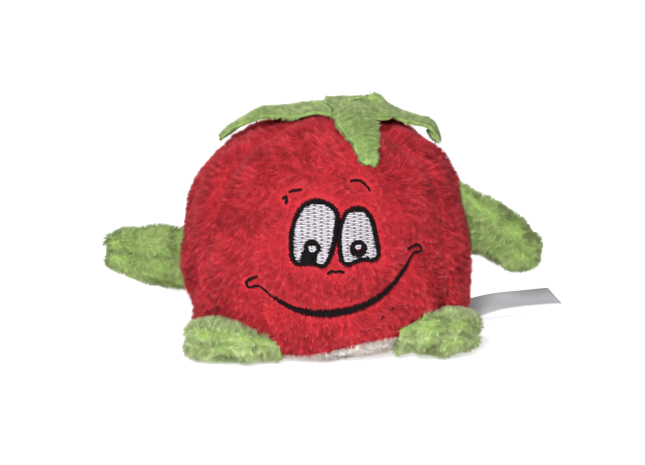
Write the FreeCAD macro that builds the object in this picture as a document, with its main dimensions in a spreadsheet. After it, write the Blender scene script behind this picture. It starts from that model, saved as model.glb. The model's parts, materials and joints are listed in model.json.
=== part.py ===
import FreeCAD, Part
import math
import os

import Sketcher
from FreeCAD import Placement, Rotation, Vector

# A small stuffed plush tomato figure, used as a soft pincushion. Millimetres, +Z up.
# The origin is the middle of the flat base. The face looks along -Y. Left is -X.

doc = FreeCAD.newDocument("plush_tomato")
sheet = doc.addObject("Spreadsheet::Sheet", "Sheet")

DIMENSIONS = (
    ("body_radius", 39.0, "widest radius of the stuffed body"),
    ("body_height", 63.5, "height of the dome above the base"),
    ("belly_height", 19.0, "height of the widest circle"),
    ("side_arc", 90.0, "radius of the long side curve"),
    ("shoulder_arc", 23.0, "radius of the shoulder curve"),
    ("crown_arc", 45.0, "radius of the crown curve"),
    ("corner_arc", 11.0, "radius of the rounded lower edge"),
    ("base_radius", 34.0, "radius of the seam round the base panel"),
    ("plush", 3.0, "thickness of the plush, backing and pile"),
    ("limb_plush", 2.4, "thickness of the shorter limb plush"),
    ("left_front_seam", 62.0, "angle from the middle of the face to the left panel seam"),
    ("right_front_seam", 54.0, "angle from the middle of the face to the right panel seam"),
    ("side_seam", 97.0, "angle from the middle of the face to each side seam"),
    ("stitch_height", 0.4, "height of the embroidery over the plush"),
    ("limb_gap", 0.4, "clearance between the body and a moving piece"),
    ("seam_gap", 0.1, "gap between the upper and lower shell of a limb"),
    ("filling_gap", 0.4, "clearance round the stuffing of a limb"),
    ("arm_length", 21.0, "arm, from its seam to its tip"),
    ("arm_half_height", 8.7, "half of the arm's height"),
    ("arm_half_width", 6.2, "half of the arm's thickness"),
    ("foot_length", 27.0, "foot, from its inner end to its tip"),
    ("foot_half_width", 7.6, "half of the foot's width"),
    ("left_foot_half_height", 5.9, "half of the left foot's height"),
    ("right_foot_half_height", 6.7, "half of the right foot's height"),
    ("calyx_x", 9.5, "sideways place of the calyx centre"),
    ("calyx_y", -1.0, "front to back place of the calyx centre"),
    ("calyx_disc_radius", 7.0, "radius of the middle of the calyx"),
    ("calyx_lift", 0.5, "clearance under the calyx"),
    ("calyx_cloth", 1.5, "thickness of the calyx cloth"),
    ("leaf_root_gap", 0.8, "gap between the middle of the calyx and a leaf"),
    ("label_length", 35.0, "care label, from its fold beside the body to its end"),
    ("label_width", 15.5, "width of the care label"),
    ("label_thickness", 0.3, "thickness of the satin care label"),
    ("label_arch", 0.9, "how far the middle of the label stands above its ends"),
    ("label_x", 37.8, "sideways place of the middle of the label's root"),
    ("label_y", 13.2, "front to back place of the middle of the label's root"),
    ("label_z", 4.9, "height of the label's root"),
    ("label_azimuth", 24.0, "direction of the label in degrees from +X"),
    ("thread_radius", 0.45, "radius of the hand sewing thread"),
    ("tack_length", 4.6, "length of one bar of the calyx tack stitch"),
    ("closing_stitch_length", 2.6, "length of one closing stitch"),
)

for row, (alias, number, note) in enumerate(DIMENSIONS, start=1):
    sheet.set("A%d" % row, note)
    sheet.set("B%d" % row, str(number))
    sheet.setAlias("B%d" % row, alias)
doc.recompute()


def size(alias):
    return float(getattr(sheet, alias))


nodes = {}


def keep(piece, label):
    """Take an object of the document as the sub-part of this name."""
    piece.Label = label
    nodes[label] = piece
    return piece


# ---------------------------------------------------------------- outline of the dome


def meet(first, first_radius, second, second_radius):
    """Upper crossing of two circles, given as (x, z) centres and radii."""
    dx = second[0] - first[0]
    dz = second[1] - first[1]
    gap = math.hypot(dx, dz)
    along = (first_radius ** 2 - second_radius ** 2 + gap ** 2) / (2.0 * gap)
    across = math.sqrt(first_radius ** 2 - along ** 2)
    foot = (first[0] + along * dx / gap, first[1] + along * dz / gap)
    return max(
        ((foot[0] + k * across * dz / gap, foot[1] - k * across * dx / gap) for k in (1, -1)),
        key=lambda point: point[1],
    )


def direction(start, end):
    return math.atan2(end[1] - start[1], end[0] - start[0])


SIDE = (size("body_radius") - size("side_arc"), size("belly_height"))
CROWN = (0.0, size("body_height") - size("crown_arc"))
SHOULDER = meet(
    SIDE,
    size("side_arc") - size("shoulder_arc"),
    CROWN,
    size("crown_arc") - size("shoulder_arc"),
)
CORNER_REACH = size("side_arc") - size("corner_arc")
CORNER = (
    SIDE[0] + math.sqrt(CORNER_REACH ** 2 - (SIDE[1] - size("corner_arc")) ** 2),
    size("corner_arc"),
)
SEAM_ANGLE = -math.acos((size("base_radius") - CORNER[0]) / size("corner_arc"))
LOW_ANGLE = direction(SIDE, CORNER)
HIGH_ANGLE = direction(SIDE, SHOULDER)
TOP_ANGLE = direction(CROWN, SHOULDER)

# Each arc of the dome: centre, radius alias, start angle, end angle, from the base seam up.
DOME = (
    (CORNER, "corner_arc", SEAM_ANGLE, LOW_ANGLE),
    (SIDE, "side_arc", LOW_ANGLE, HIGH_ANGLE),
    (SHOULDER, "shoulder_arc", HIGH_ANGLE, TOP_ANGLE),
    (CROWN, "crown_arc", TOP_ANGLE, math.pi / 2),
)


def on_arc(centre, radius, angle):
    return Vector(centre[0] + radius * math.cos(angle), centre[1] + radius * math.sin(angle), 0)


def dome_radius(height, offset=0.0):
    """Radius of the dome at this height, at this offset from its surface."""
    for centre, alias, start, end in DOME:
        radius = size(alias) + offset
        low = centre[1] + radius * math.sin(start)
        high = centre[1] + radius * math.sin(end)
        if low - 1e-6 <= height <= high + 1e-6:
            return centre[0] + math.sqrt(radius ** 2 - (height - centre[1]) ** 2)
    raise ValueError("the dome has no circle at this height")


def crown_height(x, y, offset=0.0):
    """Height of the crown of the dome over a point near its middle."""
    return CROWN[1] + math.sqrt((size("crown_arc") + offset) ** 2 - x * x - y * y)


# ---------------------------------------------------------------- sketch helpers


def origin_plane(body, role):
    return [item for item in body.Origin.OriginFeatures if item.Role == role][0]


def new_body(name):
    return doc.addObject("PartDesign::Body", name + "_body")


def new_sketch(body, role, name):
    sketch = body.newObject("Sketcher::SketchObject", name)
    sketch.AttachmentSupport = [(origin_plane(body, role), "")]
    sketch.MapMode = "FlatFace"
    return sketch


def line(sketch, start, end):
    return sketch.addGeometry(Part.LineSegment(start, end), False)


def arc(sketch, centre, radius, start, end, expression=None):
    circle = Part.Circle(Vector(centre[0], centre[1], 0), Vector(0, 0, 1), radius)
    index = sketch.addGeometry(Part.ArcOfCircle(circle, start, end), False)
    bind(sketch, Sketcher.Constraint("Radius", index, radius), expression)
    return index


def bind(sketch, constraint, expression):
    """Add a constraint and tie it to the sheet."""
    index = sketch.addConstraint(constraint)
    if expression:
        sketch.setExpression("Constraints[%d]" % index, expression)


def layer_outline(sketch, inner, outer):
    """Closed half outline between two offsets of the dome, given as sheet expressions."""
    inner_value = sheet_value(inner)
    outer_value = sheet_value(outer)
    for centre, alias, start, end in DOME:
        arc(sketch, centre, size(alias) + outer_value, start, end,
            "Sheet.%s + (%s)" % (alias, outer))
        arc(sketch, centre, size(alias) + inner_value, start, end,
            "Sheet.%s + (%s)" % (alias, inner))
    top_outer = on_arc(CROWN, size("crown_arc") + outer_value, math.pi / 2)
    top_inner = on_arc(CROWN, size("crown_arc") + inner_value, math.pi / 2)
    line(sketch, top_outer, top_inner)
    low_outer = on_arc(CORNER, size("corner_arc") + outer_value, SEAM_ANGLE)
    low_inner = on_arc(CORNER, size("corner_arc") + inner_value, SEAM_ANGLE)
    line(sketch, low_outer, low_inner)


def sheet_value(expression):
    """Number that a sheet expression stands for."""
    words = {alias: number for alias, number, note in DIMENSIONS}
    total = 0.0
    for term in expression.replace("- ", "-").replace("+ ", "").split():
        sign = -1.0 if term.startswith("-") else 1.0
        name = term.lstrip("-").replace("Sheet.", "")
        total += sign * (words[name] if name in words else float(name))
    return total


# ---------------------------------------------------------------- body panels

FRONT = -90.0


def revolved(name, outline, span=360.0, azimuth=0.0, span_expression=None):
    """Body turned about the vertical axis, centred on this azimuth."""
    body = new_body(name)
    sketch = new_sketch(body, "XZ_Plane", name + "_outline")
    outline(sketch)
    turn = body.newObject("PartDesign::Revolution", name + "_turn")
    turn.Profile = sketch
    turn.ReferenceAxis = (sketch, ["V_Axis"])
    turn.Angle = span
    if span < 360.0:
        turn.Midplane = True
    if span_expression:
        turn.setExpression("Angle", span_expression)
    body.Placement = Placement(Vector(0, 0, 0), Rotation(Vector(0, 0, 1), azimuth))
    return body


def make_panels():
    """Plush panels between the seams, angles counted from the face towards the right."""
    left = size("left_front_seam")
    right = size("right_front_seam")
    side = size("side_seam")
    seams = (
        ("face_panel", -left, right, "Sheet.left_front_seam + Sheet.right_front_seam"),
        ("side_panel_right", right, side, "Sheet.side_seam - Sheet.right_front_seam"),
        ("side_panel_left", -side, -left, "Sheet.side_seam - Sheet.left_front_seam"),
        ("back_panel_right", side, 180.0, "180 - Sheet.side_seam"),
        ("back_panel_left", -180.0, -side, "180 - Sheet.side_seam"),
    )
    for name, start, end, expression in seams:
        azimuth = FRONT + (start + end) / 2.0
        panel = revolved(name, panel_outline, end - start, azimuth, expression)
        keep(panel, name)


def panel_outline(sketch):
    layer_outline(sketch, "-Sheet.plush", "0")


def base_outline(sketch):
    """Half outline of the base panel, flat in the middle and turned up at its rim."""
    plush = size("plush")
    flat = -math.pi / 2
    arc(sketch, CORNER, size("corner_arc"), flat, SEAM_ANGLE, "Sheet.corner_arc")
    arc(sketch, CORNER, size("corner_arc") - plush, flat, SEAM_ANGLE,
        "Sheet.corner_arc - Sheet.plush")
    line(sketch, Vector(0, 0, 0), Vector(CORNER[0], 0, 0))
    line(sketch, Vector(0, plush, 0), Vector(CORNER[0], plush, 0))
    line(sketch, Vector(0, 0, 0), Vector(0, plush, 0))
    line(sketch, on_arc(CORNER, size("corner_arc"), SEAM_ANGLE),
         on_arc(CORNER, size("corner_arc") - plush, SEAM_ANGLE))


def stuffing_outline(sketch):
    """Half outline of the filling, against the inner faces of the panels."""
    plush = size("plush")
    flat = -math.pi / 2
    arc(sketch, CORNER, size("corner_arc") - plush, flat, SEAM_ANGLE,
        "Sheet.corner_arc - Sheet.plush")
    for centre, alias, start, end in DOME:
        arc(sketch, centre, size(alias) - plush, start, end, "Sheet.%s - Sheet.plush" % alias)
    line(sketch, Vector(0, plush, 0), Vector(CORNER[0], plush, 0))
    line(sketch, Vector(0, plush, 0), on_arc(CROWN, size("crown_arc") - plush, math.pi / 2))


# ---------------------------------------------------------------- limbs


def rounded_half(sketch, half_width, bulge, chord, side, width_expression):
    """Half of a rounded box on its chord. side is 1 above the chord and -1 below it."""
    radius = 0.9 * min(half_width, bulge)
    top = chord + side * bulge
    shoulder = chord + side * (bulge - radius)
    inset = half_width - radius
    quarter = math.pi / 2
    start = Vector(-half_width, chord, 0)
    end = Vector(half_width, chord, 0)
    base = line(sketch, start, end)
    bind(sketch, Sketcher.Constraint("DistanceX", base, 1, base, 2, 2 * half_width),
         width_expression)
    line(sketch, end, Vector(half_width, shoulder, 0))
    right = (0, quarter) if side > 0 else (-quarter, 0)
    arc(sketch, (inset, shoulder), radius, *right)
    line(sketch, Vector(inset, top, 0), Vector(-inset, top, 0))
    left = (quarter, math.pi) if side > 0 else (math.pi, math.pi + quarter)
    arc(sketch, (-inset, shoulder), radius, *left)
    line(sketch, Vector(-half_width, shoulder, 0), start)


def rounded_whole(sketch, half_width, half_height, middle):
    """Rounded box about its middle."""
    radius = 0.97 * min(half_width, half_height)
    x = half_width - radius
    z = half_height - radius
    quarter = math.pi / 2
    line(sketch, Vector(-x, middle - half_height, 0), Vector(x, middle - half_height, 0))
    arc(sketch, (x, middle - z), radius, -quarter, 0)
    line(sketch, Vector(half_width, middle - z, 0), Vector(half_width, middle + z, 0))
    arc(sketch, (x, middle + z), radius, 0, quarter)
    line(sketch, Vector(x, middle + half_height, 0), Vector(-x, middle + half_height, 0))
    arc(sketch, (-x, middle + z), radius, quarter, math.pi)
    line(sketch, Vector(-half_width, middle + z, 0), Vector(-half_width, middle - z, 0))
    arc(sketch, (-x, middle - z), radius, math.pi, 3 * quarter)


class Limb:
    """An arm or a foot, two shells sewn along the side and stuffed.

    Each station is (share of the length, share of the half width, share of the half height,
    drop of the middle in mm, opening of the tip notch in mm).
    """

    def __init__(self, name, length, half_width, half_height, stations, middle, placement):
        self.name = name
        self.length = length
        self.half_width = half_width
        self.half_height = half_height
        self.stations = stations
        self.middle = middle
        self.placement = placement

    def section(self, body, label, share):
        """Empty sketch across the limb at this share of its length."""
        sketch = new_sketch(body, "YZ_Plane", label)
        sketch.AttachmentOffset = Placement(Vector(0, 0, share * size(self.length)), Rotation())
        sketch.setExpression(
            "AttachmentOffset.Base.z", "Sheet.%s * %.4f" % (self.length, share))
        return sketch

    def half_sections(self, body, label, side, stations, trim, overshoot):
        """Half outlines on the seam, trimmed inwards, starting past the seam by overshoot."""
        gap = size("seam_gap") / 2 - overshoot
        trim_value = sheet_value(trim)
        sketches = []
        for number, (share, wide, high, drop, notch) in enumerate(stations):
            sketch = self.section(body, "%s%d" % (label, number), share)
            opening = 0.0 if overshoot else notch
            rounded_half(
                sketch,
                wide * size(self.half_width) - trim_value,
                high * size(self.half_height) - trim_value - gap - opening,
                self.middle - drop + side * (gap + opening),
                side,
                "2 * (Sheet.%s * %.4f - (%s))" % (self.half_width, wide, trim),
            )
            sketches.append(sketch)
        return sketches

    def shell(self, side):
        """Upper or lower plush shell, hollow and open along the side seam."""
        word = "upper" if side > 0 else "lower"
        label = "%s_%s_shell" % (self.name, word)
        body = new_body(label)
        outer = self.half_sections(body, label + "_out", side, self.stations, "0", 0.0)
        self.loft(body, "PartDesign::AdditiveLoft", label + "_skin", outer)
        doc.recompute()
        solid_volume = body.Shape.Volume
        inner = self.half_sections(
            body, label + "_in", side, self.stations[1:-1], "Sheet.limb_plush", 0.6)
        self.loft(body, "PartDesign::SubtractiveLoft", label + "_hollow", inner)
        body.Placement = self.placement
        doc.recompute()
        if body.Shape.Volume >= solid_volume:
            raise RuntimeError("%s is not hollow" % label)
        return body

    def stuffing(self):
        """Filling inside the two shells."""
        label = self.name + "_stuffing"
        body = new_body(label)
        trim = size("limb_plush") + size("filling_gap")
        sketches = []
        for number, (share, wide, high, drop, notch) in enumerate(self.stations[2:-1]):
            sketch = self.section(body, "%s_in%d" % (label, number), share)
            rounded_whole(
                sketch,
                wide * size(self.half_width) - trim,
                high * size(self.half_height) - trim,
                self.middle - drop,
            )
            sketches.append(sketch)
        self.loft(body, "PartDesign::AdditiveLoft", label + "_fill", sketches)
        body.Placement = self.placement
        return body

    @staticmethod
    def loft(body, kind, name, sketches):
        loft = body.newObject(kind, name)
        loft.Profile = sketches[0]
        loft.Sections = sketches[1:]
        loft.Ruled = False
        loft.Closed = False


def hinge_placement(point, azimuth, lean):
    """Frame of a limb: X along the limb, turned to its azimuth, leaning with the surface."""
    turn = Rotation(Vector(0, 0, 1), azimuth)
    tilt = Rotation(Vector(0, 1, 0), lean)
    return Placement(point, turn.multiply(tilt))


# Shares of the arm: narrow at its seam, full in the middle, two lobes at the tip.
ARM_SHAPE = (
    (0.00, 0.14, 0.93),
    (0.12, 0.44, 0.98),
    (0.32, 0.88, 1.00),
    (0.60, 1.00, 0.92),
    (0.84, 0.88, 0.80),
    (0.95, 0.66, 0.66),
    (1.00, 0.40, 0.50),
)
FOOT_SHAPE = (
    (0.00, 0.46, 0.46),
    (0.08, 0.66, 0.66),
    (0.30, 0.94, 0.92),
    (0.55, 1.00, 1.00),
    (0.80, 0.98, 0.96),
    (0.94, 0.74, 0.74),
    (1.00, 0.45, 0.48),
)
TIP_NOTCH = 0.9


def limb_stations(shape, drop, lift=0.0):
    """Add to each station how far its middle drops and how wide the seam notch opens."""
    stations = []
    for share, wide, high in shape:
        notch = TIP_NOTCH * max(0.0, 2.0 * share - 1.0) ** 3
        stations.append((share, wide, high, drop(share) - lift * (1.0 - high), notch))
    return tuple(stations)


# Arms: height of the seam, direction in degrees from +X, and how the middle drops outwards.
ARMS = (
    ("left_arm", 22.6, 181.0, lambda share: 0.6 * share),
    ("right_arm", 32.4, -3.0, lambda share: 8.5 * share ** 1.1),
)
# Feet: inner end on the floor, direction in degrees from +X, and half height.
FEET = (
    ("left_foot", Vector(-13.4, -31.2, 0.1), 165.0, "left_foot_half_height"),
    ("right_foot", Vector(15.4, -29.4, 0.1), 20.0, "right_foot_half_height"),
)
FOOT_LIFT = -1.5
# Half of the stretch of the body's side over which an arm's lean is taken.
LEAN_SPAN = 7.0


def make_limbs(clearance):
    """Both arms on their side seams and both feet on the floor in front."""
    arm_gap = size("limb_gap")
    for name, height, azimuth, drop in ARMS:
        reach = dome_radius(height) + arm_gap
        fall = dome_radius(height - LEAN_SPAN) - dome_radius(height + LEAN_SPAN)
        slope = math.degrees(math.atan2(fall, 2 * LEAN_SPAN))
        point = Vector(
            reach * math.cos(math.radians(azimuth)),
            reach * math.sin(math.radians(azimuth)),
            height,
        )
        limb = Limb(name, "arm_length", "arm_half_width", "arm_half_height",
                    limb_stations(ARM_SHAPE, drop), 0.0,
                    hinge_placement(point, azimuth, -slope))
        add_limb(limb, clearance)
    for name, point, azimuth, half_height in FEET:
        limb = Limb(name, "foot_length", "foot_half_width", half_height,
                    limb_stations(FOOT_SHAPE, lambda share: 0.0, lift=FOOT_LIFT),
                    size(half_height), hinge_placement(point, azimuth, 0.0))
        add_limb(limb, clearance)


def add_limb(limb, clearance):
    """Trim the three pieces of a limb so that they stay clear of the body."""
    pieces = (
        (limb.name + "_upper_shell", limb.shell(1)),
        (limb.name + "_lower_shell", limb.shell(-1)),
        (limb.name + "_stuffing", limb.stuffing()),
    )
    for label, body in pieces:
        trimmed = doc.addObject("Part::Cut", label + "_trimmed")
        trimmed.Base = body
        trimmed.Tool = clearance
        keep(trimmed, label)


# ---------------------------------------------------------------- solids shared by the trims


def dome_solid(name, offset):
    """Solid of the whole dome and base at this offset, given as a sheet expression."""
    value = sheet_value(offset)
    flat = -math.pi / 2

    def outline(sketch):
        arc(sketch, CORNER, size("corner_arc") + value, flat, SEAM_ANGLE,
            "Sheet.corner_arc + %s" % offset)
        for centre, alias, start, end in DOME:
            arc(sketch, centre, size(alias) + value, start, end,
                "Sheet.%s + %s" % (alias, offset))
        line(sketch, Vector(0, -value, 0), Vector(CORNER[0], -value, 0))
        line(sketch, Vector(0, -value, 0), on_arc(CROWN, size("crown_arc") + value, math.pi / 2))

    return revolved(name, outline)


def dome_layer(name, inner, outer):
    """Thin layer over the dome, between two offsets given as sheet expressions."""
    return revolved(name, lambda sketch: layer_outline(sketch, inner, outer))


def prism(name, plane, loops, depth):
    """Straight prism through the layer. Each loop is a list of edges in sketch coordinates."""
    sketch = doc.addObject("Sketcher::SketchObject", name + "_outline")
    if plane == "front":
        sketch.Placement = Placement(Vector(0, 0, 0), Rotation(Vector(1, 0, 0), 90))
    for loop in loops:
        for edge in loop:
            sketch.addGeometry(edge, False)
    solid = doc.addObject("Part::Extrusion", name + "_prism")
    solid.Base = sketch
    solid.DirMode = "Normal"
    solid.LengthFwd = depth
    solid.Solid = True
    return solid


def cut_from(name, layer, solid):
    """Piece of the layer inside the prism."""
    piece = doc.addObject("Part::Common", name + "_piece")
    piece.Base = layer
    piece.Tool = solid
    return piece


def closed_curve(points):
    curve = Part.BSplineCurve()
    curve.interpolate(Points=[Vector(x, z, 0) for x, z in points], PeriodicFlag=True)
    return [curve]


def circle(x, z, radius):
    return [Part.Circle(Vector(x, z, 0), Vector(0, 0, 1), radius)]


def toward(points, middle, length):
    """The same points, drawn in towards a middle by a length in mm."""
    moved = []
    for x, z in points:
        dx = middle[0] - x
        dz = middle[1] - z
        reach = math.hypot(dx, dz)
        moved.append((x + length * dx / reach, z + length * dz / reach))
    return moved


def bar(start, end, half_width):
    """Straight stitch with round ends."""
    length = math.hypot(end[0] - start[0], end[1] - start[1])
    ux = (end[0] - start[0]) / length
    uz = (end[1] - start[1]) / length
    side = (-uz * half_width, ux * half_width)
    a = Vector(start[0] + side[0], start[1] + side[1], 0)
    b = Vector(end[0] + side[0], end[1] + side[1], 0)
    c = Vector(end[0] - side[0], end[1] - side[1], 0)
    d = Vector(start[0] - side[0], start[1] - side[1], 0)
    far = Vector(end[0] + ux * half_width, end[1] + uz * half_width, 0)
    near = Vector(start[0] - ux * half_width, start[1] - uz * half_width, 0)
    return [
        Part.LineSegment(a, b),
        Part.Arc(b, far, c),
        Part.LineSegment(c, d),
        Part.Arc(d, near, a),
    ]


# ---------------------------------------------------------------- embroidered face

# Outer edge of each eye, (x, z) seen from the front, and the middle it is drawn in towards.
EYES = {
    "left": {
        "edge": ((-4.1, 45.0), (-8.4, 43.5), (-11.1, 38.8), (-11.8, 33.2), (-10.7, 28.4),
                 (-6.2, 28.3), (-2.5, 27.6), (-0.2, 32.0), (0.6, 37.4), (0.2, 42.2)),
        "middle": (-5.6, 35.6),
        "pupil": (-5.9, 32.7, 2.2),
        "highlight": (-5.9, 32.7, 0.9),
    },
    "right": {
        "edge": ((6.1, 43.0), (8.9, 41.7), (10.8, 38.1), (11.7, 33.6), (11.5, 29.2),
                 (6.9, 29.1), (2.4, 28.3), (1.2, 33.0), (1.3, 38.6), (3.1, 42.0)),
        "middle": (6.7, 35.2),
        "pupil": (6.1, 32.8, 2.1),
        "highlight": (6.1, 33.0, 0.75),
    },
}
EYE_LINE = 1.1
BROWS = {
    "left": (((-11.4, 46.4), (-8.4, 47.0)), ((-13.2, 44.7), (-12.4, 43.5))),
    "right": (((4.6, 48.9), (6.6, 49.1)), ((8.0, 48.4), (9.5, 46.7))),
}
BROW_HALF_WIDTH = 0.4
NOSE = ((-1.9, 25.8), (0.0, 26.5), (2.3, 26.2))
# Middle line of the smile from the left end to the right end, with its half width.
SMILE = (
    (-19.8, 21.9, 0.30), (-15.5, 18.8, 0.48), (-11.0, 16.8, 0.75), (-5.3, 15.6, 1.00),
    (0.0, 15.6, 1.08), (5.4, 16.8, 1.02), (11.4, 19.2, 0.92), (15.3, 22.2, 0.74),
    (18.7, 26.4, 0.52), (20.6, 29.9, 0.30),
)
SMILE_CURLS = (
    ((-20.2, 24.8), (-22.8, 23.4), (-21.9, 21.3)),
    ((19.2, 31.2), (22.0, 31.9), (23.2, 30.0)),
)
NOSE_HALF_WIDTH = 0.4
CURL_HALF_WIDTH = 0.35
PRISM_DEPTH = 60.0


def ribbon(middle_line):
    """Closed outline of a line whose half width changes along it."""
    count = len(middle_line)
    upper = []
    lower = []
    for index, (x, z, half) in enumerate(middle_line):
        before = middle_line[max(index - 1, 0)]
        after = middle_line[min(index + 1, count - 1)]
        reach = math.hypot(after[0] - before[0], after[1] - before[1])
        nx = -(after[1] - before[1]) / reach
        nz = (after[0] - before[0]) / reach
        upper.append(Vector(x + nx * half, z + nz * half, 0))
        lower.append(Vector(x - nx * half, z - nz * half, 0))
    top = Part.BSplineCurve()
    top.interpolate(Points=upper)
    bottom = Part.BSplineCurve()
    bottom.interpolate(Points=lower)
    return [
        top,
        Part.LineSegment(upper[-1], lower[-1]),
        bottom,
        Part.LineSegment(lower[0], upper[0]),
    ]


def make_face(layer):
    """Eyes, brows, nose and smile, each a low pad of thread on the face panel."""
    for side, eye in EYES.items():
        edge = eye["edge"]
        inner = toward(edge, eye["middle"], EYE_LINE)
        pupil_x, pupil_z, pupil_radius = eye["pupil"]
        shine_x, shine_z, shine_radius = eye["highlight"]
        loops = {
            "eye_outline": [closed_curve(edge), closed_curve(inner)],
            "eye_white": [closed_curve(inner), circle(pupil_x, pupil_z, pupil_radius)],
            "pupil": [circle(pupil_x, pupil_z, pupil_radius),
                      circle(shine_x, shine_z, shine_radius)],
            "pupil_highlight": [circle(shine_x, shine_z, shine_radius)],
            "brow": [bar(start, end, BROW_HALF_WIDTH) for start, end in BROWS[side]],
        }
        for word, shape in loops.items():
            name = "%s_%s" % (side, word)
            keep(cut_from(name, layer, prism(name, "front", shape, PRISM_DEPTH)), name)
    nose = [(x, z, NOSE_HALF_WIDTH) for x, z in NOSE]
    keep(cut_from("nose_stitch", layer, prism("nose", "front", [ribbon(nose)], PRISM_DEPTH)),
         "nose_stitch")
    keep(cut_from("mouth_stitch", layer, prism("mouth", "front", [ribbon(SMILE)], PRISM_DEPTH)),
         "mouth_stitch")
    curls = [ribbon([(x, z, CURL_HALF_WIDTH) for x, z in curl]) for curl in SMILE_CURLS]
    keep(cut_from("smile_end_stitches", layer, prism("curls", "front", curls, PRISM_DEPTH)),
         "smile_end_stitches")


# ---------------------------------------------------------------- calyx

# Each leaf: direction in degrees from +X, length from the centre, half width at its root.
LEAVES = {
    "calyx_leaf_left": (183.0, 38.5, 6.6),
    "calyx_leaf_front": (277.0, 28.0, 5.4),
    "calyx_leaf_right": (10.0, 20.5, 5.6),
    "calyx_leaf_back": (98.0, 27.0, 5.6),
}
LEAF_TIP_HALF = 0.8
# How far along a leaf its belly lies, and how wide it is there.
BELLY_PLACE = 0.45
BELLY_SHARE = 0.68
CALYX_PRISM_HEIGHT = 90.0


def leaf_loop(azimuth, length, half_width):
    """Pointed leaf with curved sides and a straight root, seen from above."""
    centre = Vector(size("calyx_x"), size("calyx_y"), 0)
    turn = Rotation(Vector(0, 0, 1), azimuth)
    root = size("calyx_disc_radius") + size("leaf_root_gap")

    def place(along, across):
        return centre + turn.multVec(Vector(along, across, 0))

    belly = root + BELLY_PLACE * (length - root)
    belly_half = BELLY_SHARE * half_width
    return [
        Part.LineSegment(place(root, -half_width), place(root, half_width)),
        Part.Arc(place(root, half_width), place(belly, belly_half), place(length, LEAF_TIP_HALF)),
        Part.LineSegment(place(length, LEAF_TIP_HALF), place(length, -LEAF_TIP_HALF)),
        Part.Arc(place(length, -LEAF_TIP_HALF), place(belly, -belly_half),
                 place(root, -half_width)),
    ]


def make_calyx(layer):
    radius = size("calyx_disc_radius")
    corners = []
    for azimuth, length, half_width in sorted(LEAVES.values()):
        turn = Rotation(Vector(0, 0, 1), azimuth)
        centre = Vector(size("calyx_x"), size("calyx_y"), 0)
        corners.append(centre + turn.multVec(Vector(radius, -half_width, 0)))
        corners.append(centre + turn.multVec(Vector(radius, half_width, 0)))
    edges = [
        Part.LineSegment(corner, corners[(index + 1) % len(corners)])
        for index, corner in enumerate(corners)
    ]
    keep(cut_from("calyx_centre", layer, prism("calyx_centre", "top", [edges], CALYX_PRISM_HEIGHT)),
         "calyx_centre")
    for name, (azimuth, length, half_width) in LEAVES.items():
        loop = leaf_loop(azimuth, length, half_width)
        keep(cut_from(name, layer, prism(name, "top", [loop], CALYX_PRISM_HEIGHT)), name)


def rod(name, start, end):
    """Straight thread between two points."""
    piece = doc.addObject("Part::Cylinder", name)
    piece.setExpression("Radius", "Sheet.thread_radius")
    span = end - start
    piece.Height = span.Length
    piece.Placement = Placement(start, Rotation(Vector(0, 0, 1), span))
    return piece


# The crown falls by this much along the tack stitch.
TACK_SLOPE = 0.5


def make_tack_stitch():
    """Crossed threads that hold the calyx to the crown."""
    x = size("calyx_x")
    y = size("calyx_y")
    thread = size("thread_radius")
    half = size("tack_length") / 2
    top = crown_height(x - half, y, size("calyx_lift") + size("calyx_cloth")) + thread
    first = rod("tack_first", Vector(x - half, y, top), Vector(x + half, y, top - TACK_SLOPE))
    second = rod("tack_second", Vector(x, y - half, top), Vector(x, y + half, top))
    cross = doc.addObject("Part::Fuse", "tack_cross")
    cross.Base = first
    cross.Tool = second
    keep(cross, "calyx_tack_stitch")


# Closing stitches: how many, the lowest, their spacing, slope and clearance.
CLOSING_COUNT = 5
CLOSING_LOWEST = 12.0
CLOSING_SPACING = 5.5
CLOSING_RISE = 0.8
CLOSING_GAP = 0.15


def make_closing_stitches():
    """Hand stitches that close the centre back seam after stuffing."""
    half = size("closing_stitch_length") / 2
    rods = []
    for number in range(CLOSING_COUNT):
        height = CLOSING_LOWEST + CLOSING_SPACING * number
        reach = dome_radius(height) + size("thread_radius") + CLOSING_GAP
        start = Vector(-half, reach, height - CLOSING_RISE)
        end = Vector(half, reach, height + CLOSING_RISE)
        rods.append(rod("closing_stitch_%d" % number, start, end))
    group = doc.addObject("Part::Compound", "closing_stitches")
    group.Links = rods
    keep(group, "closing_seam_stitches")


# ---------------------------------------------------------------- care label


def make_label():
    """Flat satin label, level with the base seam, standing out behind the right side."""
    body = new_body("care_label")
    sketch = new_sketch(body, "XZ_Plane", "care_label_edge")
    length = size("label_length")
    thick = size("label_thickness")
    arch = size("label_arch")
    for lift in (0.0, thick):
        sketch.addGeometry(Part.Arc(
            Vector(0, lift, 0), Vector(length / 2, arch + lift, 0), Vector(length, lift, 0)))
    near = line(sketch, Vector(0, 0, 0), Vector(0, thick, 0))
    bind(sketch, Sketcher.Constraint("DistanceY", near, 1, near, 2, thick),
         "Sheet.label_thickness")
    line(sketch, Vector(length, 0, 0), Vector(length, thick, 0))
    strip = body.newObject("PartDesign::Pad", "care_label_strip")
    strip.Profile = sketch
    strip.Length = size("label_width")
    strip.setExpression("Length", "Sheet.label_width")
    strip.Midplane = True
    root = Vector(size("label_x"), size("label_y"), size("label_z"))
    body.Placement = Placement(root, Rotation(Vector(0, 0, 1), size("label_azimuth")))
    keep(body, "care_label")


# ---------------------------------------------------------------- build


make_panels()
keep(revolved("base_panel", base_outline), "base_panel")
keep(revolved("body_stuffing", stuffing_outline), "body_stuffing")
make_limbs(dome_solid("clearance", "Sheet.limb_gap"))
make_face(dome_layer("thread_layer", "0", "Sheet.stitch_height"))
make_calyx(dome_layer("cloth_layer", "Sheet.calyx_lift", "Sheet.calyx_lift + Sheet.calyx_cloth"))
make_tack_stitch()
make_closing_stitches()
make_label()
doc.recompute()

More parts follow.
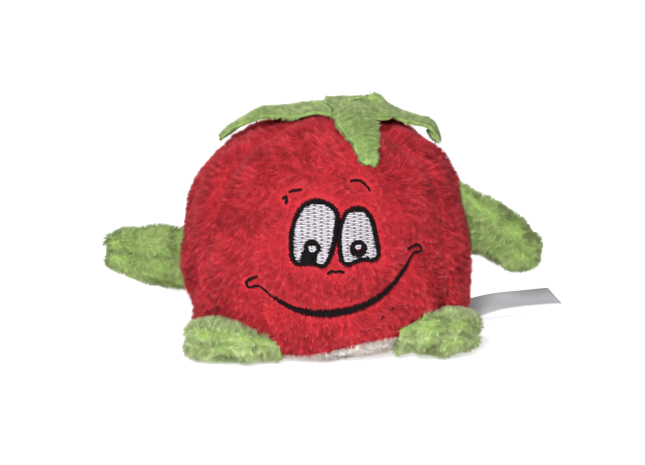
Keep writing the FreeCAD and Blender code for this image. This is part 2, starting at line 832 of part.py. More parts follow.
for item in doc.Objects:
    if "Invalid" in item.State or "Error" in item.State:
        raise RuntimeError("%s did not compute: %s" % (item.Label, item.State))

os.makedirs("parts", exist_ok=True)
for label, piece in nodes.items():
    shape = piece.Shape
    if shape.isNull() or not shape.isValid() or not shape.Solids:
        raise RuntimeError("%s has no valid solid" % label)
    shape.exportStep("parts/%s.step" % label)
    print("%-26s solids %d volume %9.2f" % (label, len(shape.Solids), shape.Volume))
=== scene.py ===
import json
import math

import bpy
import numpy as np
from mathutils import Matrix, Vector
from mathutils.bvhtree import BVHTree


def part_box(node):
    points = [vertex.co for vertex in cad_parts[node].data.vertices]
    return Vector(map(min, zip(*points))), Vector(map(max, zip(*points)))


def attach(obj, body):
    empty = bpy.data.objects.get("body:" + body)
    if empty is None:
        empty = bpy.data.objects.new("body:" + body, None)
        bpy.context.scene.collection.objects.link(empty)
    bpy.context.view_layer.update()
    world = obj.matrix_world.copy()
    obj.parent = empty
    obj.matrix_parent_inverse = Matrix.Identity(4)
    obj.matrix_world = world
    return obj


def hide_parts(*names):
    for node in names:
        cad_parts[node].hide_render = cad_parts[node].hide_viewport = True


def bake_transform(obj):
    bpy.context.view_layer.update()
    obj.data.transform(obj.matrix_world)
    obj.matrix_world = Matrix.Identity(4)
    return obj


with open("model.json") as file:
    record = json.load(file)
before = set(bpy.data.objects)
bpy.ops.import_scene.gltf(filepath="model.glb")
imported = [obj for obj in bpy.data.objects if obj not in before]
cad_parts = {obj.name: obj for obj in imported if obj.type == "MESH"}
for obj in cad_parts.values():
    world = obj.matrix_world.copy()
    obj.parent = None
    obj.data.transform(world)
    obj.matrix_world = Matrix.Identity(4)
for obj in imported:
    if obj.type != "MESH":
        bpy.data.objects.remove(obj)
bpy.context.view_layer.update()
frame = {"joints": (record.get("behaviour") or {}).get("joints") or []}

JOINTS = {joint["name"]: joint for joint in frame["joints"]}
MM = 0.001

# All lengths below are in millimetres and all angles in degrees, until a mesh is made.
# The face looks along -Y. An angle "round" the body is counted from the middle of the face,
# positive towards +X.


# ------------------------------ small tools


def unit(vectors):
    length = np.linalg.norm(vectors, axis=-1, keepdims=True)
    return vectors / np.maximum(length, 1e-9)


def smooth(low, high, value):
    """0 below low, 1 above high, with a soft step between."""
    share = np.clip((value - low) / (high - low), 0.0, 1.0)
    return share * share * (3.0 - 2.0 * share)


class Ripple:
    """Smooth repeatable noise: sine waves of about one length in fixed directions."""

    def __init__(self, seed, wave, count=14):
        draw = np.random.default_rng(seed)
        way = unit(draw.normal(size=(count, 3)))
        self.way = way * (2 * math.pi / wave) * draw.uniform(0.7, 1.4, (count, 1))
        self.phase = draw.uniform(0, 2 * math.pi, count)
        self.scale = math.sqrt(2.0 / count)
        self.wave = wave

    def __call__(self, points):
        return np.sin(points @ self.way.T + self.phase).sum(-1) * self.scale

    def slope(self, points):
        steep = np.cos(points @ self.way.T + self.phase) @ self.way * self.scale
        return steep * self.wave / (2 * math.pi)


def angle_round(points):
    """Angle of each point round the body, in degrees from the middle of the face."""
    return np.degrees(np.arctan2(points[:, 0], -points[:, 1]))


def make_object(name, vertices, faces, material=None, smooth_shade=True):
    """Mesh object from points in millimetres."""
    mesh = bpy.data.meshes.new(name)
    mesh.from_pydata((np.asarray(vertices) * MM).tolist(), [], [list(f) for f in faces])
    mesh.update()
    if smooth_shade:
        mesh.shade_smooth()
    made = bpy.data.objects.new(name, mesh)
    bpy.context.scene.collection.objects.link(made)
    if material is not None:
        mesh.materials.append(material)
    return made


def settle(made, node, hinge=None):
    """Parents a piece to the body, or for a hinged piece bakes its place into its mesh, and hides
    its CAD node.
    """
    if hinge is None:
        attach(made, "body")
    else:
        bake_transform(made)
    if node is not None:
        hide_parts(node)


class Skin:
    """A cloth surface: points in mm, faces, and the outward normal at each point."""

    def __init__(self, points, faces):
        self.points = np.asarray(points, float)
        self.faces = [tuple(f) for f in faces]
        self.refresh()

    def refresh(self):
        triangles = []
        for face in self.faces:
            triangles.append((face[0], face[1], face[2]))
            if len(face) == 4:
                triangles.append((face[0], face[2], face[3]))
        self.triangles = np.array(triangles)
        a, b, c = (self.points[self.triangles[:, k]] for k in range(3))
        cross = np.cross(b - a, c - a)
        self.areas = np.linalg.norm(cross, axis=1) / 2
        normals = np.zeros_like(self.points)
        for k in range(3):
            np.add.at(normals, self.triangles[:, k], cross)
        self.normals = unit(normals)

    def part(self, wanted):
        """The faces for which wanted is true, as a skin that keeps this one's normals."""
        faces = [f for f, keep in zip(self.faces, wanted) if keep]
        used = sorted({v for f in faces for v in f})
        place = {v: i for i, v in enumerate(used)}
        piece = Skin(self.points[used], [tuple(place[v] for v in f) for f in faces])
        piece.normals = self.normals[used]
        return piece

    def middles(self):
        return np.array([self.points[list(f)].mean(0) for f in self.faces])

    def tree(self):
        return BVHTree.FromPolygons(self.points.tolist(), self.faces)

    def thick(self, depth, lowest=-math.inf):
        """Closed cloth of this thickness, from this surface inwards, all above lowest."""
        count = len(self.points)
        inner = self.points - self.normals * depth
        faces = list(self.faces) + [tuple(v + count for v in reversed(f)) for f in self.faces]
        once = {}
        for face in self.faces:
            for a, b in zip(face, face[1:] + face[:1]):
                if (b, a) in once:
                    del once[(b, a)]
                else:
                    once[(a, b)] = True
        faces += [(b, a, a + count, b + count) for a, b in once]
        points = np.vstack([self.points, inner])
        points[:, 2] = np.maximum(points[:, 2], lowest)
        return points, faces

    def rim(self, depth):
        """The cut edge of that cloth, as a skin of its own."""
        points, faces = self.thick(depth)
        return Skin(points, faces[2 * len(self.faces):])


def grid_faces(rows, columns, closed):
    """Quads of a grid of rows by columns, closed round the columns or open."""
    faces = []
    last = columns if closed else columns - 1
    for i in range(rows - 1):
        for j in range(last):
            k = (j + 1) % columns
            faces.append((i * columns + j, i * columns + k,
                          (i + 1) * columns + k, (i + 1) * columns + j))
    return faces


def capped_faces(rows, columns):
    """A closed grid with a fan at each end, to two points more: the first end's, the last's."""
    faces = grid_faces(rows, columns, True)
    first = rows * columns
    last = first - columns
    for j in range(columns):
        k = (j + 1) % columns
        faces.append((k, j, first))
        faces.append((last + j, last + k, first + 1))
    return faces


def upward_skin(points, faces):
    """The skin of these faces with its upper side outwards, judged by its first half."""
    skin = Skin(points, faces)
    if skin.normals[:len(points) // 2, 2].mean() < 0:
        skin = Skin(points, [tuple(reversed(f)) for f in skin.faces])
    return skin


# ------------------------------ materials


def new_material(name):
    material = bpy.data.materials.new(name)
    material.use_nodes = True
    tree = material.node_tree
    return material, tree, tree.nodes["Principled BSDF"]


def set_values(node, values):
    """Fixed values of a node's inputs, by the input's name."""
    for name, value in values.items():
        node.inputs[name].default_value = value


def ramp(tree, source, stops):
    """Colour ramp fed by a factor. stops are (place, colour)."""
    node = tree.nodes.new("ShaderNodeValToRGB")
    while len(node.color_ramp.elements) < len(stops):
        node.color_ramp.elements.new(0.5)
    for element, (place, colour) in zip(node.color_ramp.elements, stops):
        element.position = place
        element.color = (*colour, 1)
    tree.links.new(source, node.inputs["Fac"])
    return node.outputs["Color"]


def noise(tree, scale, detail=3.0):
    coordinates = tree.nodes.new("ShaderNodeTexCoord")
    node = tree.nodes.new("ShaderNodeTexNoise")
    set_values(node, {"Scale": scale, "Detail": detail, "Roughness": 0.55})
    tree.links.new(coordinates.outputs["Object"], node.inputs["Vector"])
    return node.outputs["Fac"]


def bump(tree, shader, height, strength, distance):
    node = tree.nodes.new("ShaderNodeBump")
    set_values(node, {"Strength": strength, "Distance": distance})
    tree.links.new(height, node.inputs["Height"])
    tree.links.new(node.outputs["Normal"], shader.inputs["Normal"])


def multiplied(tree, first, second):
    node = tree.nodes.new("ShaderNodeMix")
    node.data_type = "RGBA"
    node.blend_type = "MULTIPLY"
    node.inputs["Factor"].default_value = 1.0
    tree.links.new(first, node.inputs["A"])
    tree.links.new(second, node.inputs["B"])
    return node.outputs["Result"]


def pile_material(name, root, tip, light, sheen):
    """Plush pile: across the pile's map lies the tone of each tuft, darker between tufts as painted
    shade; up it root to tip, the dark root painted shade deep in the pile and the light tip a
    painted highlight.
    """
    material, tree, shader = new_material(name)
    place = tree.nodes.new("ShaderNodeUVMap")
    place.uv_map = "OFBake"
    parts = tree.nodes.new("ShaderNodeSeparateXYZ")
    tree.links.new(place.outputs["UV"], parts.inputs["Vector"])
    # Root to tip: the dark root colour is painted shade deep in the pile, the light tip colour a
    # painted highlight on the fibre tips.
    shade = ramp(tree, parts.outputs["Y"], ((0.0, root), (0.7, tip), (1.0, light)))
    # Across the map, the tone: partly random, partly painted shade between the tufts.
    tone = ramp(tree, parts.outputs["X"], ((0.0, (0.50, 0.45, 0.45)), (1.0, (1.04, 1.0, 1.0))))
    tree.links.new(multiplied(tree, shade, tone), shader.inputs["Base Color"])
    set_values(shader, {"Roughness": 0.8, "Specular IOR Level": 0.15, "Sheen Weight": sheen,
                        "Sheen Roughness": 0.4, "Sheen Tint": (*light, 1)})
    return material


def cloth_material(name, dark, light, wave=0.5, depth=0.12):
    """Knitted backing under the pile, or with a longer wave loose filling."""
    material, tree, shader = new_material(name)
    mottled = ramp(tree, noise(tree, 1 / (3.0 * MM)), ((0.3, dark), (0.7, light)))
    tree.links.new(mottled, shader.inputs["Base Color"])
    set_values(shader, {"Roughness": 0.9})
    bump(tree, shader, noise(tree, 1 / (wave * MM), 4.0), 0.8, depth * MM)
    return material


def thread_material(name, dark, light, roughness):
    """Twisted polyester thread with a soft lustre."""
    material, tree, shader = new_material(name)
    fleck = ramp(tree, noise(tree, 1 / (0.5 * MM), 2.0), ((0.3, dark), (0.7, light)))
    tree.links.new(fleck, shader.inputs["Base Color"])
    set_values(shader, {"Roughness": roughness, "Specular IOR Level": 0.08})
    bump(tree, shader, noise(tree, 1 / (0.12 * MM), 2.0), 0.5, 0.03 * MM)
    return material


def satin_material():
    """Woven satin tape: fine ribs along it and a soft gloss."""
    material, tree, shader = new_material("white_satin")
    coordinates = tree.nodes.new("ShaderNodeTexCoord")
    ribs = tree.nodes.new("ShaderNodeTexWave")
    ribs.bands_direction = "Y"
    set_values(ribs, {"Scale": 1 / (2.2 * MM), "Distortion": 1.5})
    tree.links.new(coordinates.outputs["UV"], ribs.inputs["Vector"])
    tone = ramp(tree, ribs.outputs["Fac"], ((0.0, (0.38, 0.38, 0.40)), (1.0, (0.45, 0.45, 0.47))))
    tree.links.new(tone, shader.inputs["Base Color"])
    set_values(shader, {"Roughness": 0.5, "Specular IOR Level": 0.3})
    bump(tree, shader, ribs.outputs["Fac"], 0.25, 0.04 * MM)
    return material


# Colour at the root, painted shade deep in the pile; up the fibre; and at the tip, a painted
# highlight where the tips catch the light, also the sheen's tint; and the strength of the sheen.
PILES = {
    "red_pile": ((0.24, 0.005, 0.010), (0.58, 0.027, 0.041), (0.74, 0.12, 0.14), 0.12),
    "green_pile": ((0.15, 0.24, 0.06), (0.32, 0.45, 0.155), (0.43, 0.56, 0.26), 0.25),
    "foot_pile": ((0.24, 0.35, 0.11), (0.47, 0.61, 0.27), (0.60, 0.73, 0.40), 0.3),
    "leaf_pile": ((0.16, 0.25, 0.07), (0.38, 0.52, 0.20), (0.50, 0.63, 0.31), 0.3),
    "white_pile": ((0.52, 0.48, 0.44), (0.72, 0.67, 0.62), (0.80, 0.76, 0.72), 0.2),
}
# Dark and light tone of the mottling, and for the filling the size and depth of its waves.
CLOTHS = {
    "red_cloth": ((0.30, 0.006, 0.012), (0.42, 0.012, 0.022)),
    "green_cloth": ((0.16, 0.26, 0.06), (0.24, 0.36, 0.09)),
    "white_cloth": ((0.60, 0.58, 0.55), (0.74, 0.72, 0.70)),
    "fibre": ((0.70, 0.70, 0.68), (0.88, 0.88, 0.86), 1.2, 0.6),
}
# Dark and light fleck of the twist, and the roughness.
THREADS = {
    "black_thread": ((0.001, 0.001, 0.0015), (0.004, 0.003, 0.004), 0.7),
    "white_thread": ((0.30, 0.28, 0.31), (0.50, 0.48, 0.50), 0.6),
    # The grey thread is painted shade: the dark underlay stands for the shadow in the gaps between
    # the rows of the eye white.
    "grey_thread": ((0.10, 0.08, 0.10), (0.17, 0.14, 0.16), 0.7),
    "green_thread": ((0.16, 0.26, 0.06), (0.24, 0.36, 0.10), 0.5),
    "red_thread": ((0.30, 0.01, 0.02), (0.42, 0.03, 0.05), 0.5),
}
MATERIALS = {}
for kinds, recipe in ((PILES, pile_material), (CLOTHS, cloth_material),
                      (THREADS, thread_material)):
    for kind, values in kinds.items():
        MATERIALS[kind] = recipe(kind, *values)
MATERIALS["white_satin"] = satin_material()


def plush(node, skin, depth, colour, hinge=None, lowest=-math.inf):
    """Closed plush cloth under a skin, standing for a CAD node."""
    vertices, faces = skin.thick(depth, lowest)
    made = make_object("plush_" + node, vertices, faces, MATERIALS[colour + "_cloth"])
    settle(made, node, hinge)
    return made


def filling(name, node, points, faces, hinge=None, fill=0.9):
    """Loose stuffing, standing for a CAD node."""
    made = make_object("filling_" + name, points, faces, MATERIALS["fibre"])
    settle(made, node, hinge)


# ------------------------------ pile


class Nap:
    """How the pile lies: general lean, swirls, and tufts that draw together."""

    def __init__(self, seed, down=(0.0, 0.0, -1.0), lean=38.0, swirl=0.5, part=None,
                 tousle=None):
        self.down = np.array(down)
        self.part = part
        self.tousle = tousle
        self.lean = lean
        self.swirl = swirl
        self.swirls = [Ripple(seed + k, 13.0) for k in range(3)]
        self.small = [Ripple(seed + 10 + k, 4.2) for k in range(3)]
        self.tufts = Ripple(seed + 20, 2.0, 20)
        self.fluff = Ripple(seed + 21, 6.5)
        self.patch = Ripple(seed + 22, 9.0)

    def lay(self, roots, normals, length, draw):
        """Tip, shading normal and tone of each fibre."""
        flow = self.down + self.swirl * np.stack([r(roots) for r in self.swirls], 1)
        flow = flow + 0.5 * self.swirl * np.stack([r(roots) for r in self.small], 1)
        if self.part is not None:
            flow = flow + self.part(roots)
        flow = flow + draw.normal(0, 0.20, roots.shape)
        flow = unit(flow - normals * (flow * normals).sum(1, keepdims=True))
        lean = np.radians(self.lean + 9 * self.fluff(roots) + draw.normal(0, 6, len(roots)))
        lean = np.clip(lean, 0.05, 1.25)[:, None]
        reach = length * (0.94 + 0.07 * self.fluff(roots) + draw.uniform(-0.12, 0.12, len(roots)))
        gather = self.tufts.slope(roots)
        gather = gather - normals * (gather * normals).sum(1, keepdims=True)
        if self.tousle is not None:
            gather = gather * self.tousle(roots)[:, None]
        way = normals * np.cos(lean) + flow * np.sin(lean)
        tips = roots + way * reach[:, None] + gather * 0.15 * length[:, None]
        shading = unit(normals - 0.36 * gather + 0.12 * way + draw.normal(0, 0.16, roots.shape))
        # The tone is random patches and per-fibre differences, plus painted shade: fibres in the
        # partings between tufts darker, those on the tufts lighter.
        tone = 0.60 + 0.14 * self.patch(roots) + 0.22 * self.tufts(roots)
        tone = np.clip(tone + draw.normal(0, 0.15, len(roots)), 0.03, 0.97)
        return tips, shading, tone


def scatter(skin, density, draw):
    """Even random places on a skin, with their normals."""
    weights = skin.areas / skin.areas.sum()
    count = int(skin.areas.sum() * density)
    pick = draw.choice(len(weights), count, p=weights)
    u = np.sqrt(draw.random(count))[:, None]
    v = draw.random(count)[:, None]
    shares = (1 - u, u * (1 - v), u * v)
    corners = [skin.triangles[pick][:, k] for k in range(3)]
    roots = sum(s * skin.points[c] for s, c in zip(shares, corners))
    normals = unit(sum(s * skin.normals[c] for s, c in zip(shares, corners)))
    return roots, normals


MOST_FIBRES = 48000
# Length of the pile, fibres on each square millimetre, width of a fibre, and its slot.
COATS = {
    "red_pile": (2.4, 14.0, 0.22, "red_plush"),
    "white_pile": (1.5, 10.0, 0.22, "white_plush"),
    "green_pile": (1.9, 15.0, 0.21, "green_plush"),
    "foot_pile": (1.9, 15.0, 0.21, "green_plush"),
    "leaf_pile": (1.4, 15.0, 0.20, "green_plush"),
}
LEAF_EDGE_PILE = 1.0
# The fibres' feet stand this far inside the cloth.
ROOT_DEPTH = 0.25


def fibre_mesh(name, points, shading, tone, painted_light_reach, material):
    """One mesh of closed pointed fibres, four corners each, the tip last."""
    count = len(points)
    cone = np.array([[0, 1, 3], [1, 2, 3], [2, 0, 3], [0, 2, 1]])
    first = np.arange(count)[:, None, None] * 4
    triangles = (first + cone[None]).reshape(-1).astype(np.int32)
    mesh = bpy.data.meshes.new(name)
    mesh.vertices.add(count * 4)
    mesh.vertices.foreach_set("co", (points.reshape(-1) * MM).astype(np.float32))
    mesh.loops.add(len(triangles))
    mesh.loops.foreach_set("vertex_index", triangles)
    mesh.polygons.add(len(triangles) // 3)
    mesh.polygons.foreach_set("loop_start", np.arange(0, len(triangles), 3, dtype=np.int32))
    mesh.update(calc_edges=True)
    mesh.shade_smooth()
    # The map holds what the colour needs: tone across, root to tip upwards. The roots sit at the
    # dark end as painted shade, and a short fibre's tip stops short of the light end, also painted
    # shade.
    across = tone[:, None] + np.array([-0.012, 0.0, 0.012, 0.0])
    upward = np.stack([np.full(count, 0.02)] * 3 + [0.98 * painted_light_reach], 1)
    flat = np.stack([across, upward], 2).reshape(-1, 2)
    layer = mesh.uv_layers.new(name="OFBake")
    layer.data.foreach_set("uv", flat[triangles].astype(np.float32).ravel())
    mesh.normals_split_custom_set_from_vertices(np.repeat(shading, 4, axis=0).tolist())
    mesh.materials.append(MATERIALS[material])
    made = bpy.data.objects.new(name, mesh)
    bpy.context.scene.collection.objects.link(made)
    return made


def pile(name, skin, coat, nap, seed, hinge=None, shorten=None, length=None):
    """Fibres over a skin. shorten(points) gives the share of the length, 0 where none grow;
    shortened fibres are also coloured darker, as painted shade.
    """
    usual, density, width, slot = COATS[coat]
    length = length or usual
    draw = np.random.default_rng(seed)
    roots, normals = scatter(skin, density, draw)
    lengths = np.full(len(roots), float(length))
    if shorten is not None:
        lengths = lengths * shorten(roots)
    grows = lengths > 0.05 * length
    # Short fibres, at the stitching, the seams, the base seam and under the leaves, stop lower on
    # the root-to-tip colour: painted shade where the pile is pressed down or covered.
    painted_light_reach = np.clip(0.25 + 0.9 * lengths / length, 0.0, 1.0)[grows]
    roots, normals, lengths = roots[grows], normals[grows], lengths[grows]
    tips, shading, tone = nap.lay(roots, normals, lengths, draw)
    count = len(roots)
    side = unit(np.cross(normals, draw.normal(size=(count, 3))))
    other = np.cross(normals, side)
    girth = width * draw.uniform(0.75, 1.25, count)[:, None] / 2
    points = np.empty((count, 4, 3))
    for corner in range(3):
        angle = corner * 2 * math.pi / 3
        ring = math.cos(angle) * side + math.sin(angle) * other
        points[:, corner] = roots - normals * ROOT_DEPTH + girth * ring
    points[:, 3] = tips
    order = np.argsort(roots[:, 0], kind="stable")
    pieces = math.ceil(count / MOST_FIBRES)
    made = []
    for number, chosen in enumerate(np.array_split(order, pieces)):
        label = name if pieces == 1 else "%s_%d" % (name, number + 1)
        hair = fibre_mesh(label, points[chosen], shading[chosen], tone[chosen],
                          painted_light_reach[chosen], coat)
        settle(hair, None, hinge)
        made.append(hair)
    return made


# ------------------------------ body

BODY_RADIUS = 39.0
BODY_HEIGHT = 63.5
BELLY_HEIGHT = 19.0
SIDE_ARC = 90.0
SHOULDER_ARC = 23.0
CROWN_ARC = 45.0
CORNER_ARC = 11.0
PILE_DEPTH = 2.1
BODY_CLOTH = 0.8
BODY_MIDDLE = np.array([0.0, 0.0, 24.0])
BASE_LIFT = 0.6
PANEL_SEAMS = {"left_front": -60.0, "right_front": 54.0, "right_side": 98.0, "left_side": -98.0,
               "back": 180.0}


def meet(first, first_radius, second, second_radius):
    """Upper crossing of two circles, given as (x, z) centres and radii."""
    dx = second[0] - first[0]
    dz = second[1] - first[1]
    gap = math.hypot(dx, dz)
    along = (first_radius ** 2 - second_radius ** 2 + gap ** 2) / (2 * gap)
    across = math.sqrt(first_radius ** 2 - along ** 2)
    foot = (first[0] + along * dx / gap, first[1] + along * dz / gap)
    return max(((foot[0] + k * across * dz / gap, foot[1] - k * across * dx / gap)
                for k in (1, -1)), key=lambda point: point[1])


def dome_outline(offset):
    """Points of the half outline (r, z) from the middle of the base to the crown."""
    side = (BODY_RADIUS - SIDE_ARC, BELLY_HEIGHT)
    crown = (0.0, BODY_HEIGHT - CROWN_ARC)
    shoulder = meet(side, SIDE_ARC - SHOULDER_ARC, crown, CROWN_ARC - SHOULDER_ARC)
    reach = SIDE_ARC - CORNER_ARC
    corner = (side[0] + math.sqrt(reach ** 2 - (side[1] - CORNER_ARC) ** 2), CORNER_ARC)
    angles = [
        -math.pi / 2,
        math.atan2(corner[1] - side[1], corner[0] - side[0]),
        math.atan2(shoulder[1] - side[1], shoulder[0] - side[0]),
        math.atan2(shoulder[1] - crown[1], shoulder[0] - crown[0]),
        math.pi / 2,
    ]
    arcs = ((corner, CORNER_ARC), (side, SIDE_ARC), (shoulder, SHOULDER_ARC), (crown, CROWN_ARC))
    points = [(r, -offset) for r in np.linspace(0, corner[0], 60)[:-1]]
    for (centre, radius), start, end in zip(arcs, angles, angles[1:]):
        for angle in np.linspace(start, end, 80):
            points.append((centre[0] + (radius + offset) * math.cos(angle),
                           centre[1] + (radius + offset) * math.sin(angle)))
    outline = np.array(points)
    steps = np.linalg.norm(np.diff(outline, axis=0), axis=1)
    keep = np.concatenate([[True], steps > 1e-6])
    return outline[keep]


class Dome:
    """Outline of the body's skin by the length along it."""

    def __init__(self, offset):
        self.outline = dome_outline(offset)
        steps = np.linalg.norm(np.diff(self.outline, axis=0), axis=1)
        self.along = np.concatenate([[0.0], np.cumsum(steps)])
        self.length = self.along[-1]

    def at(self, along):
        return (np.interp(along, self.along, self.outline[:, 0]),
                np.interp(along, self.along, self.outline[:, 1]))

    def along_at_height(self, height):
        """Length along the outline where the side reaches this height."""
        outer = self.outline[:, 0] > CORNER_ARC
        return np.interp(height, self.outline[outer, 1], self.along[outer])

    def top_at(self, x, y):
        """Height of the upper surface over a point."""
        upper = self.outline[:, 1] > BELLY_HEIGHT
        radii = self.outline[upper, 0][::-1]
        heights = self.outline[upper, 1][::-1]
        return np.interp(np.hypot(x, y), radii, heights)


SKIN_DOME = Dome(-PILE_DEPTH)
BODY_COLUMNS = 180
BASE_ROWS = 12
SIDE_ROWS = 58
LUMPS = Ripple(3, 17.0)
DIMPLES = Ripple(4, 6.5)
# Angle round the body and height of the base seam there.
BASE_SEAM = ((-180.0, 4.4), (-60.0, 3.8), (-24.0, 3.5), (-12.0, 3.9), (-3.0, 4.9), (5.0, 5.9),
             (14.0, 7.3), (24.0, 7.9), (40.0, 7.4), (70.0, 5.4), (120.0, 4.4), (180.0, 4.4))


def seam_height(round_angle):
    """The base seam climbs towards the front right, where the base shows most."""
    angles, heights = zip(*BASE_SEAM)
    return np.interp(round_angle, angles, heights)


def seam_distance(points):
    """Distance in mm round the body to the nearest panel seam."""
    angle = angle_round(points)
    radius = np.hypot(points[:, 0], points[:, 1])
    nearest = np.full(len(points), 1e9)
    for seam in PANEL_SEAMS.values():
        turn = np.abs((angle - seam + 180) % 360 - 180)
        nearest = np.minimum(nearest, np.radians(turn) * radius)
    return nearest


def simulate(points, faces, held, pressure, frames, most, scale=10.0):
    """Inflate cloth whose held points stay put, at ten times its size, and return its points."""
    rest = np.asarray(points, float)
    trial = make_object("trial_cloth", rest * scale, faces)
    group = trial.vertex_groups.new(name="held")
    for index, weight in enumerate(held):
        if weight > 0:
            group.add([index], float(weight), "REPLACE")
    cloth = trial.modifiers.new("cloth", "CLOTH")
    settings = cloth.settings
    settings.vertex_group_mass = "held"
    settings.use_pressure = True
    settings.uniform_pressure_force = pressure
    settings.effector_weights.gravity = 0.0
    settings.quality = 6
    settings.tension_stiffness = 12
    settings.compression_stiffness = 12
    settings.shear_stiffness = 6
    settings.bending_stiffness = 0.6
    scene = bpy.context.scene
    for number in range(1, frames + 1):
        scene.frame_set(number)
    depsgraph = bpy.context.evaluated_depsgraph_get()
    result = trial.evaluated_get(depsgraph).to_mesh()
    moved = np.empty(len(rest) * 3)
    result.vertices.foreach_get("co", moved)
    moved = moved.reshape(-1, 3) / MM / scale
    trial.evaluated_get(depsgraph).to_mesh_clear()
    mesh = trial.data
    bpy.data.objects.remove(trial)
    bpy.data.meshes.remove(mesh)
    scene.frame_set(1)
    shift = moved - rest
    length = np.linalg.norm(shift, axis=1, keepdims=True)
    return rest + shift * np.minimum(1.0, most / np.maximum(length, 1e-9))


def body_points():
    """Grid of the whole body, base first, before stuffing."""
    angles = -180.0 + 360.0 * np.arange(BODY_COLUMNS) / BODY_COLUMNS
    seams = SKIN_DOME.along_at_height(seam_height(angles))
    rows = []
    for share in np.linspace(0.0, 1.0, BASE_ROWS + 1)[1:]:
        rows.append(seams * share)
    for share in np.linspace(0.0, 1.0, SIDE_ROWS + 2)[1:-1]:
        rows.append(seams + (SKIN_DOME.length - seams) * share)
    points = []
    for along in rows:
        radius, height = SKIN_DOME.at(along)
        turn = np.radians(angles)
        points.append(np.stack([radius * np.sin(turn), -radius * np.cos(turn), height], 1))
    points = np.vstack(points)
    ends = np.array([[0.0, 0.0, PILE_DEPTH], [0.0, 0.0, BODY_HEIGHT - PILE_DEPTH]])
    return np.vstack([points, ends])


def make_body_skin():
    """The stuffed body: pinned on its seams, inflated between them, then tufted and lumpy."""
    points = body_points()
    faces = capped_faces(BASE_ROWS + SIDE_ROWS, BODY_COLUMNS)
    side = seam_distance(points)
    on_side = points[:, 2] > seam_height(angle_round(points)) + 1.5
    # The sewn seams pull in before the body is stuffed.
    outward = unit(points - BODY_MIDDLE)
    sunk = 1.5 * np.exp(-(side / 2.6) ** 2) * on_side
    points = points - outward * sunk[:, None]
    held = np.where((side < 0.8) & on_side, 1.0, 0.0)
    row = np.arange(len(points)) // BODY_COLUMNS
    held = np.where(row < BASE_ROWS, 1.0, held)
    held[-2:] = (1.0, 0.9)
    points = simulate(points, faces, held, pressure=2.5, frames=20, most=1.6)
    x, y, z = points.T
    rise = smooth(6.0, 16.0, z)
    points = points + outward * (rise * (0.32 * LUMPS(points) + 0.14 * DIMPLES(points)))[:, None]
    # The crown leans to the right and the lower left is tucked in.
    lean = 1.2 * smooth(24.0, 60.0, z)
    tuck = 2.9 * np.exp(-((z - 9.0) / 7.0) ** 2) * smooth(4, 10, z) * smooth(24, 38, -x)
    cheek = -1.0 * np.exp(-((z - 36.0) / 9.0) ** 2) * smooth(20, 38, -x)
    flank = 1.1 * np.exp(-((z - 18.0) / 9.0) ** 2) * smooth(20, 38, x)
    points = points + np.stack([lean + tuck + cheek + flank, 0 * x, 0 * x], 1)
    # The base droops at the front left and is drawn up at the front right.
    low = smooth(9.0, 0.5, z) * smooth(4.0, 16.0, -y)
    points[:, 2] += low * (2.2 * smooth(6.0, 30.0, x) - 0.7 * smooth(8.0, -4.0, x))
    points = press_face(points)
    return Skin(points, faces)


# ------------------------------ embroidered face

EYES = {
    "left": {
        "edge": ((-3.9, 45.2), (-8.4, 43.6), (-11.2, 38.8), (-11.9, 33.2), (-10.8, 28.3),
                 (-6.2, 28.1), (-2.5, 27.4), (-0.1, 32.0), (1.0, 37.4), (0.7, 42.7)),
        "middle": (-5.6, 35.6),
        "pupil": (-5.9, 32.7, 2.2),
        "highlight": (-5.9, 32.7, 0.9),
    },
    "right": {
        "edge": ((6.1, 43.2), (3.0, 42.3), (1.0, 38.6), (0.6, 33.0), (2.0, 28.1), (6.9, 28.9),
                 (11.5, 29.0), (11.6, 33.6), (10.8, 38.2), (8.9, 41.9)),
        "middle": (6.7, 35.2),
        "pupil": (6.1, 32.4, 2.25),
        "highlight": (6.1, 33.0, 0.75),
    },
}
EYE_LINE = 1.4
# Black stitching that runs from the left pupil down to the outline.
PUPIL_STEM = ((-8.1, 32.0), (-9.8, 28.4), (-5.0, 28.8), (-4.6, 31.0))
BROWS = {
    "left": (((-11.4, 46.3), (-10.1, 46.7), (-8.4, 47.0)),
             ((-13.2, 44.7), (-12.2, 45.2), (-12.1, 44.6), (-12.4, 43.5))),
    "right": (((4.6, 48.9), (6.3, 49.2), (8.2, 48.3), (9.5, 46.6)),),
}
BROW_HALF_WIDTH = 0.28
NOSE = ((-1.9, 25.9), (-0.7, 26.6), (0.3, 26.2), (0.9, 26.6), (2.3, 26.3))
# Middle line of the smile from the left end to the right end, with its half width.
SMILE = (
    (-19.6, 22.1, 0.20), (-15.3, 19.0, 0.48), (-11.0, 16.8, 0.75), (-5.3, 15.6, 1.00),
    (0.0, 15.6, 1.08), (5.4, 16.8, 1.02), (11.4, 19.2, 0.92), (15.3, 22.2, 0.74),
    (18.7, 26.4, 0.52), (20.9, 29.9, 0.28),
)
SMILE_CURLS = (
    ((-19.8, 22.1), (-22.1, 21.3), (-22.6, 22.8), (-20.0, 24.6)),
    ((21.0, 29.9), (23.3, 30.2), (22.0, 31.8), (19.4, 31.2)),
)
CURL_HALF_WIDTH = 0.32
FLECKS = ((15.3, 15.9), (12.3, 14.0))


